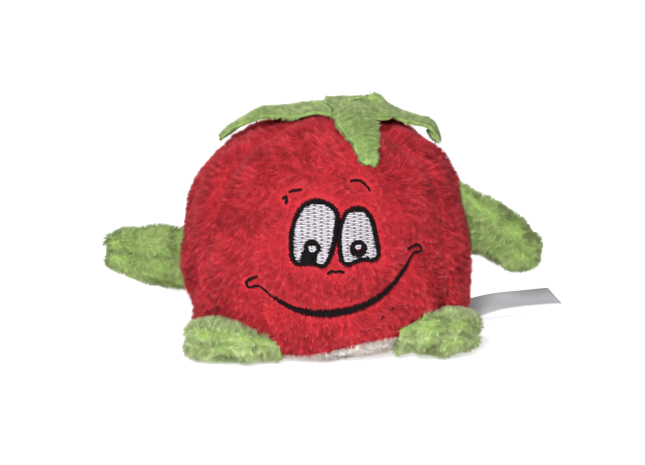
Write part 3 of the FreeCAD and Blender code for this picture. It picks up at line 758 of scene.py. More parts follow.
def spline(points, count, closed=False):
    """Smooth curve through the points (Catmull-Rom), evenly spaced."""
    p = np.asarray(points, float)
    if closed:
        p = np.vstack([p[-1], p, p[0], p[1]])
    else:
        p = np.vstack([2 * p[0] - p[1], p, 2 * p[-1] - p[-2]])
    fine = []
    for a, b, c, d in zip(p, p[1:], p[2:], p[3:]):
        for t in np.linspace(0, 1, 24, endpoint=False):
            fine.append(0.5 * (2 * b + (c - a) * t + (2 * a - 5 * b + 4 * c - d) * t * t
                               + (3 * b - a - 3 * c + d) * t ** 3))
    if not closed:
        fine.append(p[-2])
    else:
        fine.append(fine[0])
    fine = np.array(fine)
    steps = np.concatenate([[0], np.cumsum(np.linalg.norm(np.diff(fine[:, :2], axis=0), axis=1))])
    want = np.linspace(0, steps[-1], count)
    return np.stack([np.interp(want, steps, fine[:, k]) for k in range(fine.shape[1])], 1)


def inside(points, loop):
    """True for each (x, z) point inside the closed loop."""
    x, z = points[:, 0], points[:, 1]
    hit = np.zeros(len(points), bool)
    for (ax, az), (bx, bz) in zip(loop, np.roll(loop, -1, axis=0)):
        crosses = (az > z) != (bz > z)
        with np.errstate(divide="ignore", invalid="ignore"):
            at = ax + (z - az) * (bx - ax) / (bz - az)
        hit ^= crosses & (x < at)
    return hit


def distance_to(points, line, half=0.0):
    """Distance of each (x, z) point to a band: a line of points and its half width."""
    nearest = np.full(len(points), 1e9)
    halves = np.full(len(line), half) if np.isscalar(half) else half
    for a, b, wide in zip(line, line[1:], halves):
        way = b - a
        share = np.clip(((points - a) @ way) / max(way @ way, 1e-9), 0, 1)
        gap = np.linalg.norm(points - a - share[:, None] * way, axis=1) - wide
        nearest = np.minimum(nearest, gap)
    return nearest


SMILE_LINE = spline(SMILE, 120)
CURL_LINES = [spline(curl, 30) for curl in SMILE_CURLS]
NOSE_LINE = spline(NOSE, 30)
EYE_LOOPS = {side: spline(eye["edge"], 120, closed=True) for side, eye in EYES.items()}
BROW_LINES = {side: [spline(bar, 16) for bar in bars] for side, bars in BROWS.items()}


def face_gap(points):
    """Distance of each body point to the nearest embroidery, negative inside an eye."""
    flat = points[:, [0, 2]]
    gap = distance_to(flat, SMILE_LINE[:, :2], SMILE_LINE[:, 2])
    for line in CURL_LINES + [NOSE_LINE] + BROW_LINES["left"] + BROW_LINES["right"]:
        gap = np.minimum(gap, distance_to(flat, line, CURL_HALF_WIDTH))
    for loop in EYE_LOOPS.values():
        rim = distance_to(flat, loop)
        gap = np.minimum(gap, np.where(inside(flat, loop[:-1]), -rim, rim))
    return np.where(points[:, 1] < 0, gap, 99.0)


def press_face(points):
    """The stitching pulls the cloth in along the embroidery."""
    gap = face_gap(points)
    pull = 0.8 * np.exp(-(np.maximum(gap, 0) / 1.8) ** 2)
    flat = unit(points * np.array([1, 1, 0.0]))
    return points - flat * pull[:, None]


def face_shorten(points):
    """No pile grows under the thread, and next to it the pile is caught down."""
    gap = face_gap(points)
    return np.where(gap < 0.3, 0.0, 0.32 + 0.68 * smooth(0.3, 2.3, gap))


class Face:
    """Places points of the flat face drawing on the body."""

    def __init__(self, skin):
        self.tree = skin.tree()

    def on(self, x, z, lift):
        """Point over the skin at this place of the face, raised by lift."""
        hit = self.tree.ray_cast(Vector((x, -80.0, z)), Vector((0, 1, 0)))[0]
        reach = math.hypot(hit.x, hit.y) + lift
        return Vector((x, -math.sqrt(reach * reach - x * x), z))


def thread(name, node, paths, radius, material):
    """Round threads with tapered ends, all in one mesh, standing for a CAD node."""
    around = 6
    vertices = []
    faces = []
    for path in paths:
        path = np.asarray(path, float)
        count = len(path)
        way = unit(np.gradient(path, axis=0))
        side = unit(np.cross(way, unit(path * np.array([1, 1, 0.3]))))
        other = np.cross(way, side)
        start = len(vertices)
        for i in range(count):
            thin = 0.45 if i in (0, count - 1) else 1.0
            for k in range(around):
                angle = 2 * math.pi * k / around
                ring = math.cos(angle) * side[i] + math.sin(angle) * other[i]
                vertices.append(path[i] + ring * radius * thin)
        for i in range(count - 1):
            for k in range(around):
                n = (k + 1) % around
                a = start + i * around
                faces.append((a + k, a + n, a + around + n, a + around + k))
        faces.append(tuple(start + k for k in reversed(range(around))))
        faces.append(tuple(start + (count - 1) * around + k for k in range(around)))
    made = make_object(name, vertices, faces, MATERIALS[material])
    settle(made, node)


def stitch(face, start, end, lift, sink=0.45, steps=4):
    """One stitch from start to end over the cloth, dipping into its needle holes."""
    points = []
    length = math.hypot(end[0] - start[0], end[1] - start[1])
    for share in np.linspace(0, 1, steps):
        x = start[0] + (end[0] - start[0]) * share
        z = start[1] + (end[1] - start[1]) * share
        arch = smooth(0.0, 0.7, min(share, 1 - share) * length)
        points.append(face.on(x, z, lift - sink * (1 - arch)))
    return points


def satin(face, line, half_widths, pitch, lift, draw):
    """Satin stitches side by side across a line."""
    steps = np.concatenate([[0], np.cumsum(np.linalg.norm(np.diff(line, axis=0), axis=1))])
    count = max(2, int(steps[-1] / pitch))
    paths = []
    for number in range(count + 1):
        at = steps[-1] * number / count
        x, z = (np.interp(at, steps, line[:, k]) for k in range(2))
        ahead = min(at + 0.3, steps[-1])
        back = max(at - 0.3, 0.0)
        dx = np.interp(ahead, steps, line[:, 0]) - np.interp(back, steps, line[:, 0])
        dz = np.interp(ahead, steps, line[:, 1]) - np.interp(back, steps, line[:, 1])
        reach = math.hypot(dx, dz)
        nx, nz = -dz / reach, dx / reach
        half = np.interp(at, steps, half_widths)
        one, two = half * draw.uniform(0.82, 1.2, 2) + draw.uniform(-0.1, 0.16, 2)
        skew = 0.10 * (1 if number % 2 else -1)
        paths.append(stitch(face, (x + nx * one + skew * dx, z + nz * one + skew * dz),
                            (x - nx * two - skew * dx, z - nz * two - skew * dz), lift))
    return paths


THREAD_RADIUS = 0.21
# Height of each layer of thread over the cloth.
GROUND_LIFT = 0.91
FILL_LIFT = 1.25
STEM_LIFT = 1.4
LINE_LIFT = 1.45
TOP_LIFT = 1.5
SHINE_LIFT = 1.55
# Distance between stitches, from fine satin to the rows of the eye.
FINE_PITCH = 0.27
LINE_PITCH = 0.34
ROW_PITCH = 0.46
# Round places of the left eye white that the pupil's stem covers.
STEM_HOLES = [(-7.0, 29.6, 1.7), (-6.6, 31.0, 1.5)]
NOSE_HALF_WIDTH = 0.36
FLECK_HALF_WIDTH = 0.25


def row_spans(z, loop, holes):
    """Stretches of one horizontal row inside a loop and outside round holes."""
    crossings = []
    for (ax, az), (bx, bz) in zip(loop[:-1], loop[1:]):
        if (az > z) != (bz > z):
            crossings.append(ax + (z - az) * (bx - ax) / (bz - az))
    crossings.sort()
    spans = [(a, b) for a, b in zip(crossings[::2], crossings[1::2])]
    for x, hz, radius in holes:
        if abs(z - hz) < radius:
            half = math.sqrt(radius ** 2 - (z - hz) ** 2)
            cut = []
            for a, b in spans:
                if a < x - half:
                    cut.append((a, min(b, x - half)))
                if b > x + half:
                    cut.append((max(a, x + half), b))
            spans = [(a, b) for a, b in cut if b - a > 0.3]
    return spans


def fill_rows(face, loop, holes, pitch, length, lift, draw):
    """Rows of fill stitches laid brick fashion."""
    paths = []
    low, high = loop[:, 1].min(), loop[:, 1].max()
    rows = int((high - low) / pitch)
    for number in range(1, rows):
        z = low + number * pitch
        for a, b in row_spans(z, loop, holes):
            a -= draw.uniform(0.0, 0.35)
            b += draw.uniform(0.0, 0.35)
            shift = (0.5 * (number % 2) + draw.uniform(-0.04, 0.04)) * length
            cuts = [a] + [x for x in np.arange(math.floor(a / length) * length + shift, b, length)
                          if a + 0.5 < x < b - 0.5] + [b]
            for start, end in zip(cuts, cuts[1:]):
                steps = max(4, int((end - start) / 0.35) + 2)
                paths.append(stitch(face, (start + 0.04, z), (end - 0.04, z + draw.normal(0, 0.03)),
                                    lift, 0.6, steps))
    return paths


def circle_loop(x, z, radius, count=40):
    turn = np.linspace(0, 2 * math.pi, count)
    return np.stack([x + radius * np.cos(turn), z + radius * np.sin(turn)], 1)


def drawn_in(loop, middle, amount):
    way = unit(np.asarray(middle) - loop)
    return loop + way * amount


def satin_line(face, line, half_width, pitch, lift, draw):
    """Satin stitches of one width across a line."""
    return satin(face, line, np.full(len(line), half_width), pitch, lift, draw)


def pupil_stitches(face, side, pupil, shine, draw):
    """A ring of satin round the highlight, and the left eye's stem."""
    band = (pupil[2] + shine[2]) / 2
    width = (pupil[2] - shine[2]) / 2
    circle = circle_loop(pupil[0], pupil[1], band)
    paths = satin_line(face, circle, width, 0.25, LINE_LIFT, draw)
    if side == "left":
        stem = spline(PUPIL_STEM, 60, closed=True)
        paths += fill_rows(face, stem, [], 0.3, 6.0, STEM_LIFT, draw)
    return paths


def eye_stitches(face, side, eye, draw):
    """Everything sewn for one eye and its brow: node, paths and thread."""
    loop = EYE_LOOPS[side]
    ring = drawn_in(loop, eye["middle"], EYE_LINE / 2)
    inner = drawn_in(loop, eye["middle"], EYE_LINE * 0.8)
    pupil = eye["pupil"]
    shine = eye["highlight"]
    holes = [pupil]
    if side == "left":
        holes += STEM_HOLES
    white = fill_rows(face, inner, holes, ROW_PITCH, 3.4, FILL_LIFT, draw)
    # Long stitches underneath hide the plush. Their dark grey is painted shade: it stands for the
    # shadow in the gaps between the white rows.
    ground = fill_rows(face, inner, holes, 0.36, 40.0, GROUND_LIFT, draw)
    thread("underlay_%s_eye" % side, None, ground, THREAD_RADIUS, "grey_thread")
    outline = satin_line(face, ring, EYE_LINE / 2, LINE_PITCH, TOP_LIFT, draw)
    dark = pupil_stitches(face, side, pupil, shine, draw)
    spot = circle_loop(shine[0], shine[1], shine[2] + 0.1)
    light = fill_rows(face, spot, [], 0.36, 3.0, SHINE_LIFT, draw)
    brow = []
    for line in BROW_LINES[side]:
        brow += satin_line(face, line, BROW_HALF_WIDTH, FINE_PITCH, LINE_LIFT, draw)
    return [
        (side + "_eye_white", white, "white_thread"),
        (side + "_eye_outline", outline, "black_thread"),
        (side + "_pupil", dark, "black_thread"),
        (side + "_pupil_highlight", light, "white_thread"),
        (side + "_brow", brow, "black_thread"),
    ]


def make_face(skin):
    """The embroidery, stitch by stitch."""
    face = Face(skin)
    draw = np.random.default_rng(11)
    pieces = []
    for side, eye in EYES.items():
        pieces += eye_stitches(face, side, eye, draw)
    nose = satin_line(face, NOSE_LINE, NOSE_HALF_WIDTH, FINE_PITCH, LINE_LIFT, draw)
    smile = satin(face, SMILE_LINE[:, :2], SMILE_LINE[:, 2], LINE_PITCH, TOP_LIFT, draw)
    ends = []
    for line in CURL_LINES:
        ends += satin_line(face, line, CURL_HALF_WIDTH, FINE_PITCH, TOP_LIFT, draw)
    for x, z in FLECKS:
        fleck = np.array([(x - 0.35, z - 0.3), (x + 0.35, z + 0.3)])
        ends += satin_line(face, fleck, FLECK_HALF_WIDTH, FINE_PITCH, LINE_LIFT, draw)
    pieces += [
        ("nose_stitch", nose, "black_thread"),
        ("mouth_stitch", smile, "black_thread"),
        ("smile_end_stitches", ends, "black_thread"),
    ]
    for node, paths, material in pieces:
        thread("sewn_" + node, node, paths, THREAD_RADIUS, material)


# ------------------------------ body pieces

def part_pile(points):
    """Next to the embroidery the pile lies away from the thread."""
    push = np.zeros_like(points)
    near = (points[:, 1] < 0) & (np.abs(points[:, 0]) < 27.0) & (points[:, 2] < 53.0)
    spots = points[near]
    step = 0.25
    gap = face_gap(spots)
    along_x = face_gap(spots + np.array([step, 0, 0])) - gap
    along_z = face_gap(spots + np.array([0, 0, step])) - gap
    away = np.stack([along_x, 0 * gap, along_z], 1) / step
    push[near] = 3.0 * away * (1 - smooth(0.3, 2.2, gap))[:, None]
    return push


def body_shorten(points):
    """Pile length over the body: less at the stitching, the base seam and under the leaves."""
    above = points[:, 2] - seam_height(angle_round(points))
    share = 0.55 + 0.45 * smooth(0.5, 4.0, above)
    share = share * (0.70 + 0.30 * smooth(0.3, 1.4, seam_distance(points)))
    top = points[:, 2] > 44.0
    share[top] *= 1.0 - 0.6 * leaf_cover(points[top])
    front = (points[:, 1] < 0) & (np.abs(points[:, 0]) < 27.0)
    share[front] *= face_shorten(points[front])
    return share


PANELS = {
    "face_panel": ("left_front", "right_front"),
    "side_panel_right": ("right_front", "right_side"),
    "side_panel_left": ("left_side", "left_front"),
    "back_panel_right": ("right_side", "back"),
    "back_panel_left": ("back", "left_side"),
}


def make_body():
    """Panels, their pile and the stuffing. Returns the skin that the rest is laid on."""
    skin = make_body_skin()
    angle = angle_round(skin.middles())
    row = np.array([min(f) // BODY_COLUMNS for f in skin.faces])
    base_fan = np.array([BODY_COLUMNS * (BASE_ROWS + SIDE_ROWS) in f for f in skin.faces])
    highest = np.array([max(f) for f in skin.faces])
    is_base = (row < BASE_ROWS - 1) & (highest < BODY_COLUMNS * (BASE_ROWS + 1)) | base_fan
    nap = Nap(40, part=part_pile, tousle=lambda p: 0.8 + 1.0 * smooth(38.0, 14.0, p[:, 2]))
    for number, (node, (start, end)) in enumerate(PANELS.items()):
        low = PANEL_SEAMS[start]
        high = PANEL_SEAMS[end]
        if node == "back_panel_left":
            low = -180.0
        cloth = skin.part(~is_base & (angle > low) & (angle <= high))
        plush(node, cloth, BODY_CLOTH, "red")
        pile("pile_" + node, cloth, "red_pile", nap, 60 + number, shorten=body_shorten)
    base = skin.part(is_base)
    plush("base_panel", base, BODY_CLOTH, "white", lowest=BASE_LIFT)
    base_nap = Nap(44, (0.3, 0.2, 0.0), 50.0)
    pile("pile_base_panel", base, "white_pile", base_nap, 70)
    inner = skin.points - skin.normals * (2.4 + 0.5 * DIMPLES(skin.points))[:, None]
    filling("body", "body_stuffing", inner, skin.faces)
    return skin


# ------------------------------ limbs

LIMB_COLUMNS = 48
LIMB_ROWS = 34
LIMB_SKIN = 1.5
LIMB_CLOTH = 0.6
ARM_HALF_WIDTH = 6.2
ARM_HALF_HEIGHT = 8.7
FOOT_HALF_WIDTH = 7.6
# Room for the pile between a foot's cloth and the body, and over the floor.
FOOT_GAP = 1.2
FOOT_LIFT = 1.1
# Share of the way at which the rounded tip begins, and how far it stands out.
TIP_START = 0.74
TIP_REACH = 2.6
# The stuffing's size as a share of the limb's.
STUFFING_SHARE = 0.74
# Share of the length, of the half width and of the half height.
LEFT_ARM_SHAPE = ((0.00, 0.40, 1.06), (0.12, 0.56, 1.06), (0.30, 0.90, 1.02),
                  (0.48, 1.00, 0.93), (0.62, 1.00, 0.84), (0.80, 0.92, 0.72),
                  (0.92, 0.78, 0.62), (1.00, 0.66, 0.54))
RIGHT_ARM_SHAPE = ((0.00, 0.40, 1.12), (0.12, 0.56, 1.15), (0.32, 0.92, 1.16),
                   (0.60, 1.00, 1.11), (0.84, 0.96, 0.94), (0.95, 0.84, 0.74),
                   (1.00, 0.70, 0.58))
LEFT_FOOT_SHAPE = ((0.00, 0.50, 0.30), (0.08, 0.66, 0.44), (0.30, 0.94, 0.80),
                   (0.55, 1.04, 1.00), (0.80, 1.02, 1.03), (0.94, 0.90, 0.97),
                   (1.00, 0.72, 0.84))
RIGHT_FOOT_SHAPE = ((0.00, 0.52, 0.38), (0.08, 0.70, 0.54), (0.30, 0.98, 0.92),
                    (0.55, 1.04, 1.04), (0.80, 1.02, 1.02), (0.94, 0.88, 0.90),
                    (1.00, 0.70, 0.74))


class LimbFrame:
    """Place of a limb: origin and its X along, Y across and Z up, from its joint."""

    def __init__(self, joint, back, drop, hinge_is_upright):
        place = np.array(JOINTS[joint]["pos_m"]) / MM
        axis = np.array(JOINTS[joint]["axis"])
        if hinge_is_upright:
            along = unit(place * np.array([1, 1, 0]))
            across = unit(np.cross(axis, along))
            along = np.cross(across, axis)
            up = axis
        else:
            up = np.array([0.0, 0.0, 1.0])
            across = axis
            along = np.cross(across, up)
        self.along, self.across, self.up = along, across, up
        self.origin = place - along * back - up * drop

    def place(self, local):
        return (self.origin + local[:, :1] * self.along + local[:, 1:2] * self.across
                + local[:, 2:3] * self.up)


def limb_local(shape, length, half_width, half_height, droop, middle, notch, notch_height, power,
               slant=0.0):
    """Closed tube in the limb's own axes: rows along it, columns round it."""
    shares = np.array([s[0] for s in shape])
    wide = np.array([s[1] for s in shape])
    high = np.array([s[2] for s in shape])
    rows = []
    for i in range(LIMB_ROWS):
        t = i / (LIMB_ROWS - 1)
        tip = smooth(0.62, 1.0, t)
        # The last rows close the rounded tip.
        share = min(t / TIP_START, 1.0)
        close = max(t - TIP_START, 0.0) / (1 - TIP_START)
        narrow = math.cos(close * math.pi / 2 * 0.985)
        w = np.interp(share, shares, wide) * half_width * narrow
        h = np.interp(share, shares, high) * half_height * narrow
        x = share * (length - TIP_REACH) + TIP_REACH * math.sin(close * math.pi / 2)
        turn = 2 * math.pi * np.arange(LIMB_COLUMNS) / LIMB_COLUMNS
        c, s = np.cos(turn), np.sin(turn)
        y = w * np.sign(c) * np.abs(c) ** power
        z = h * np.sign(s) * np.abs(s) ** power
        # Two lobes stand past the seam at the tip.
        pull = notch * tip * np.exp(-((z - notch_height) / 2.4) ** 2)
        x = np.full(LIMB_COLUMNS, x) - pull + slant * tip * z
        rows.append(np.stack([x, y, z + middle - droop(share)], 1))
    local = np.vstack(rows)
    root = rows[0].mean(0) + np.array([0.3, 0, 0])
    end = rows[-1].mean(0) + np.array([-0.3, 0, 0])
    return np.vstack([local, root, end])


def make_limb(name, limb_frame, local, tuck, coat, seed, nap_way, blend_reach, most):
    """Two shells, their pile and the stuffing of an arm or a foot. tuck moves points clear."""
    faces = capped_faces(LIMB_ROWS, LIMB_COLUMNS)
    on_seam = np.tile(np.arange(LIMB_COLUMNS) % (LIMB_COLUMNS // 2) == 0, LIMB_ROWS)
    row = np.repeat(np.arange(LIMB_ROWS), LIMB_COLUMNS)
    held = np.where(on_seam | (row < 3), 1.0, 0.0)
    held = np.concatenate([held, [1.0, 0.3]])
    local = simulate(local, faces, held, pressure=3.0, frames=16, most=most)
    # The side seam pulls in.
    centre = local.copy()
    rings = local[:-2].reshape(LIMB_ROWS, LIMB_COLUMNS, 3)
    middle_z = np.concatenate([np.repeat(rings[:, :, 2].mean(1), LIMB_COLUMNS), local[-2:, 2]])
    centre[:, 1] = 0
    centre[:, 2] = middle_z
    away = np.abs(local[:, 2] - middle_z)
    sides = np.abs(local[:, 1]) > 0.4
    pull = (0.6 + 0.6 * smooth(8.0, 22.0, local[:, 0])) * np.exp(-(away / 1.1) ** 2) * sides
    local = local + unit(centre - local) * pull[:, None]
    points = limb_frame.place(local)
    rough = Ripple(seed, 7.0)
    grown = Skin(points, faces)
    points = points + grown.normals * (0.28 * rough(points))[:, None]
    points = tuck(points)
    skin = Skin(points, faces)
    upper = np.array([np.mean([local[v, 2] - middle_z[v] for v in f]) > 0 for f in faces])
    start = limb_frame.origin * MM
    end = (limb_frame.origin + limb_frame.along * blend_reach) * MM
    hinge = (name, start, end)
    nap = Nap(seed + 3, nap_way, 30.0)
    for word, wanted in (("upper", upper), ("lower", ~upper)):
        cloth = skin.part(wanted)
        node = "%s_%s_shell" % (name, word)
        plush(node, cloth, LIMB_CLOTH, "green", hinge)
        pile("pile_" + node, cloth, coat, nap, seed + 7, hinge)
    filling(name, name + "_stuffing", *limb_filling(skin.points), hinge, 0.85)


def limb_filling(points):
    """The stuffing: the limb's rings drawn in, without the thin ends."""
    rings = points[:-2].reshape(LIMB_ROWS, LIMB_COLUMNS, 3)[3:-3]
    middles = rings.mean(1, keepdims=True)
    drawn = (middles + STUFFING_SHARE * (rings - middles)).reshape(-1, 3)
    rows = len(rings)
    faces = grid_faces(rows, LIMB_COLUMNS, True)
    faces.append(tuple(reversed(range(LIMB_COLUMNS))))
    faces.append(tuple((rows - 1) * LIMB_COLUMNS + k for k in range(LIMB_COLUMNS)))
    return drawn, faces


def outside_body(points, body_tree, gap):
    """Keeps a limb's points this far outside the body's skin."""
    moved = points.copy()
    for index, point in enumerate(points):
        hit, normal = body_tree.find_nearest(Vector(point))[:2]
        depth = (Vector(point) - hit).dot(normal)
        if depth < gap:
            moved[index] = np.array(hit + normal * gap)
    return moved


def make_limbs(body):
    """Arms that stand out at the sides and feet that lie on the floor."""
    tree = body.tree()
    # Name, shape, length, droop along it, slant of the tip, lie of the pile, seed.
    arms = (
        ("left_arm", LEFT_ARM_SHAPE, 22.0, lambda share: -1.7 * share - 0.3, 0.06,
         (0.75, 0.0, -0.65), 81),
        ("right_arm", RIGHT_ARM_SHAPE, 19.9, lambda share: 12.6 * share - 1.8, 0.42,
         (-0.6, 0.0, -0.75), 82),
    )
    for name, shape, length, droop, slant, nap_way, seed in arms:
        local = limb_local(
            shape, length, ARM_HALF_WIDTH - LIMB_SKIN, ARM_HALF_HEIGHT - LIMB_SKIN, droop,
            middle=0.0, notch=2.0, notch_height=0.0, power=0.86, slant=slant)
        limb_frame = LimbFrame(name + "_flap", back=4.4, drop=0.0, hinge_is_upright=True)
        make_limb(name, limb_frame, local, lambda p: p, "green_pile", seed, nap_way,
                  blend_reach=7.0, most=1.2)
    # Name, shape, length, half height, height of the middle, dip at the root, seed, notch.
    feet = (
        ("left_foot", LEFT_FOOT_SHAPE, 26.1, 5.8, 6.5, 1.0, 83, 0.2),
        ("right_foot", RIGHT_FOOT_SHAPE, 25.3, 6.4, 7.1, -1.6, 84, -1.6),
    )
    for name, shape, length, half_height, middle, dip, seed, notch_height in feet:
        local = limb_local(
            shape, length, FOOT_HALF_WIDTH - LIMB_SKIN, half_height - LIMB_SKIN,
            lambda share: dip * (1 - share) ** 2,
            middle=middle, notch=1.6, notch_height=notch_height, power=0.8)
        limb_frame = LimbFrame(name + "_flap", back=0.6, drop=0.8, hinge_is_upright=False)
        make_limb(name, limb_frame, local, lambda p: rest_foot(p, tree), "foot_pile", seed,
                  (0.0, -0.4, -0.6), blend_reach=6.0, most=1.0)


def rest_foot(points, tree):
    """A foot lies on the floor against the body."""
    points = outside_body(points, tree, FOOT_GAP)
    points[:, 2] = np.maximum(points[:, 2], FOOT_LIFT)
    return points


# ------------------------------ calyx

CALYX = np.array([9.5, -1.0])
# Azimuth, half width, outline, and the middle line as distance from the calyx's middle,
# height over the body's skin and shift aside.
LEAVES = {
    "left": (183.0, 8.0,
             ((0.0, 0.80), (0.2, 0.88), (0.42, 0.78), (0.67, 0.52), (0.82, 0.35), (0.95, 0.25),
              (1.0, 0.12)),
             ((2.0, 3.0, -0.4), (9.0, 2.0, -0.8), (18.0, 2.7, -2.0), (28.0, 4.1, -3.6),
              (37.4, 4.3, -3.2))),
    "front": (277.0, 5.7,
              ((0.0, 0.90), (0.33, 1.0), (0.66, 0.76), (0.83, 0.54), (0.95, 0.40), (1.0, 0.22)),
              ((2.0, 4.4, -1.9), (9.0, 3.8, -3.8), (16.0, 3.6, -3.4), (22.0, 3.6, -3.1),
               (26.6, 3.5, -3.1))),
    "right": (10.0, 5.9,
              ((0.0, 0.70), (0.3, 0.92), (0.55, 0.80), (0.76, 0.64), (0.92, 0.56), (1.0, 0.34)),
              ((2.0, 4.8, 0.8), (8.0, 4.8, 0.9), (12.0, 5.2, 0.6), (16.0, 6.5, 0.2),
               (18.6, 7.6, 0.0), (20.2, 7.2, 0.0), (20.5, 5.8, 0.0), (18.7, 4.1, 0.0))),
    "back": (98.0, 7.4,
             ((0.0, 0.80), (0.25, 1.0), (0.5, 0.86), (0.76, 0.58), (0.93, 0.36), (1.0, 0.12)),
             ((2.0, 4.4, 0.0), (9.0, 3.6, 0.0), (18.0, 3.4, 0.0), (28.0, 2.8, 0.0))),
}
LEAF_CLOTH = 0.9
CENTRE_RADIUS = 9.0
CENTRE_LIFT = 3.5
PUFF_HEIGHT = 3.1
PUFF_WIDTH = 4.4
PUFF_SHIFT = 3.2
DIMPLE_DEPTH = 1.3


def leaf_cover(points):
    """1 well under a leaf or the calyx's middle, 0 clear of them."""
    cover = smooth(0.0, 1.2, CENTRE_RADIUS - np.hypot(*(points[:, :2] - CALYX).T))
    for azimuth, half_width, outline, path in LEAVES.values():
        turn = math.radians(azimuth)
        flat = points[:, :2] - CALYX
        along = flat @ np.array([math.cos(turn), math.sin(turn)])
        across = flat @ np.array([-math.sin(turn), math.cos(turn)])
        places = [step[0] for step in path]
        asides = [step[2] for step in path]
        length = max(places)
        half = half_width * np.interp(along / length, *zip(*outline))
        rising = [k for k in range(len(places)) if places[k] >= max(places[:k + 1])]
        across = across - np.interp(along, [places[k] for k in rising],
                                    [asides[k] for k in rising])
        under = smooth(0.4, 1.6, half - np.abs(across)) * smooth(0.5, 2.0, length - along)
        cover = np.maximum(cover, under * (along > 0))
    return cover


def leaf_points(word):
    """Grid of a leaf lying on the crown, from the middle of the calyx to its tip."""
    azimuth, half_width, outline, path = LEAVES[word]
    rows, columns = 48, 19
    turn = math.radians(azimuth)
    along_way = np.array([math.cos(turn), math.sin(turn)])
    across_way = np.array([-math.sin(turn), math.cos(turn)])
    wobble = Ripple(int(azimuth), 10.0)
    ragged = Ripple(int(azimuth) + 1, 3.0)
    middle = spline(path, rows)
    points = []
    for i, (along, lift, aside) in enumerate(middle):
        half = half_width * np.interp(i / (rows - 1), *zip(*outline))
        centre = CALYX + along_way * along + across_way * aside
        under = float(SKIN_DOME.top_at(*centre))
        for j in range(columns):
            share = 2 * j / (columns - 1) - 1
            uneven = 1 + 0.05 * float(ragged(np.array([along, 9.0 * np.sign(share), 0.0])))
            flat = centre + across_way * half * share * uneven
            follow = float(SKIN_DOME.top_at(*flat)) - under
            points.append((flat[0], flat[1], under + lift + follow - 0.5 * share ** 2))
    points = np.array(points)
    points[:, 2] += 0.35 * wobble(points)
    return points, rows, columns


def make_leaf(word):
    """One leaf, furry on top and round its edge."""
    azimuth, half_width, path = (LEAVES[word][k] for k in (0, 1, 3))
    points, rows, columns = leaf_points(word)
    skin = upward_skin(points, grid_faces(rows, columns, False))
    turn = math.radians(azimuth)
    way = np.array([math.cos(turn), math.sin(turn), 0.0])
    root = np.array(JOINTS[word + "_leaf_lift"]["pos_m"])
    hinge = (word + "_leaf", root - way * 2.0 * MM, root + way * 4.0 * MM)
    node = "calyx_leaf_" + word
    made = plush(node, skin, LEAF_CLOTH, "green", hinge)
    nap = Nap(90 + len(word), tuple(way * 0.9 + np.array([0, 0, -0.4])), 42.0)
    hairs = pile("pile_" + node, skin, "leaf_pile", nap, 95, hinge)
    hairs += pile("edge_" + node, skin.rim(LEAF_CLOTH), "leaf_pile", nap, 96, hinge,
                  length=LEAF_EDGE_PILE)


def make_calyx_centre():
    """Gathered middle of the calyx, highest a little to the right. Returns its height."""
    rings, columns = 12, 48
    points = []
    for i in range(rings + 1):
        radius = CENTRE_RADIUS * max(i, 0.02) / rings
        for j in range(columns):
            turn = 2 * math.pi * j / columns
            x = CALYX[0] + radius * math.cos(turn)
            y = CALYX[1] + radius * math.sin(turn)
            off = math.hypot(x - CALYX[0] - PUFF_SHIFT, y - CALYX[1])
            uneven = 1 + 0.15 * math.cos(4 * turn + 0.6)
            puff = PUFF_HEIGHT * math.exp(-(off / PUFF_WIDTH) ** 2) * uneven
            dip = -DIMPLE_DEPTH * math.exp(-(radius / 1.8) ** 2)
            fold = 0.35 * math.cos(4 * turn - 0.4) * math.sin(math.pi * radius / CENTRE_RADIUS)
            height = float(SKIN_DOME.top_at(x, y)) + CENTRE_LIFT
            points.append((x, y, height + puff + dip + fold))
    skin = upward_skin(points, grid_faces(rings + 1, columns, True))
    made = plush("calyx_centre", skin, LEAF_CLOTH, "green")
    nap = Nap(99, (0.3, -0.5, -0.3), 38.0)
    hairs = pile("pile_calyx_centre", skin, "leaf_pile", nap, 98)
    puff = PUFF_HEIGHT * math.exp(-(PUFF_SHIFT / PUFF_WIDTH) ** 2)
    return float(SKIN_DOME.top_at(*CALYX)) + CENTRE_LIFT + puff - DIMPLE_DEPTH


def make_tack(top):
    """Crossed sewing threads in the dimple of the calyx."""
    paths = []
    for way in ((1, 0.15), (-0.2, 1)):
        path = []
        for share in np.linspace(-1, 1, 9):
            arch = 0.5 * (1 - share * share)
            path.append((CALYX[0] + 2.1 * share * way[0], CALYX[1] + 2.1 * share * way[1],
                         top + 0.9 + arch + 0.35 * share ** 2))
        paths.append(path)
    thread("tack_threads", "calyx_tack_stitch", paths, 0.35, "green_thread")


# ------------------------------ label and hand stitches


LABEL_LENGTH = 27.5
LABEL_INNER = 6.5
LABEL_HALF_WIDTH = 7.75
LABEL_THICKNESS = 0.22
LABEL_BEND = 16.0


def label_points(place, along, across):
    """Grid of the tape from its sewn end outwards: it bends, rises and tilts a little."""
    rows, columns = 60, 24
    step = (LABEL_LENGTH + LABEL_INNER) / (rows - 1)
    middle = place - along * LABEL_INNER
    points = []
    for i in range(rows):
        s = -LABEL_INNER + step * i
        share = max(s, 0) / LABEL_LENGTH
        turn = -math.radians(LABEL_BEND) * smooth(0, 1, share)
        forward = along * math.cos(turn) + across * math.sin(turn)
        side = across * math.cos(turn) - along * math.sin(turn)
        lift = 4.2 + 2.0 * share + 0.6 * (1 - (2 * share - 1) ** 2) - 0.5 * smooth(0, 8, -s)
        for j in range(columns):
            w = LABEL_HALF_WIDTH * (2 * j / (columns - 1) - 1)
            spot = middle + side * w
            spot[2] = lift + (0.03 + 0.02 * share) * w
            points.append(spot)
        middle = middle + forward * step
    points = np.array(points)
    points[:, 2] += 0.16 * Ripple(7, 16.0)(points)
    return points, grid_faces(rows, columns, False)


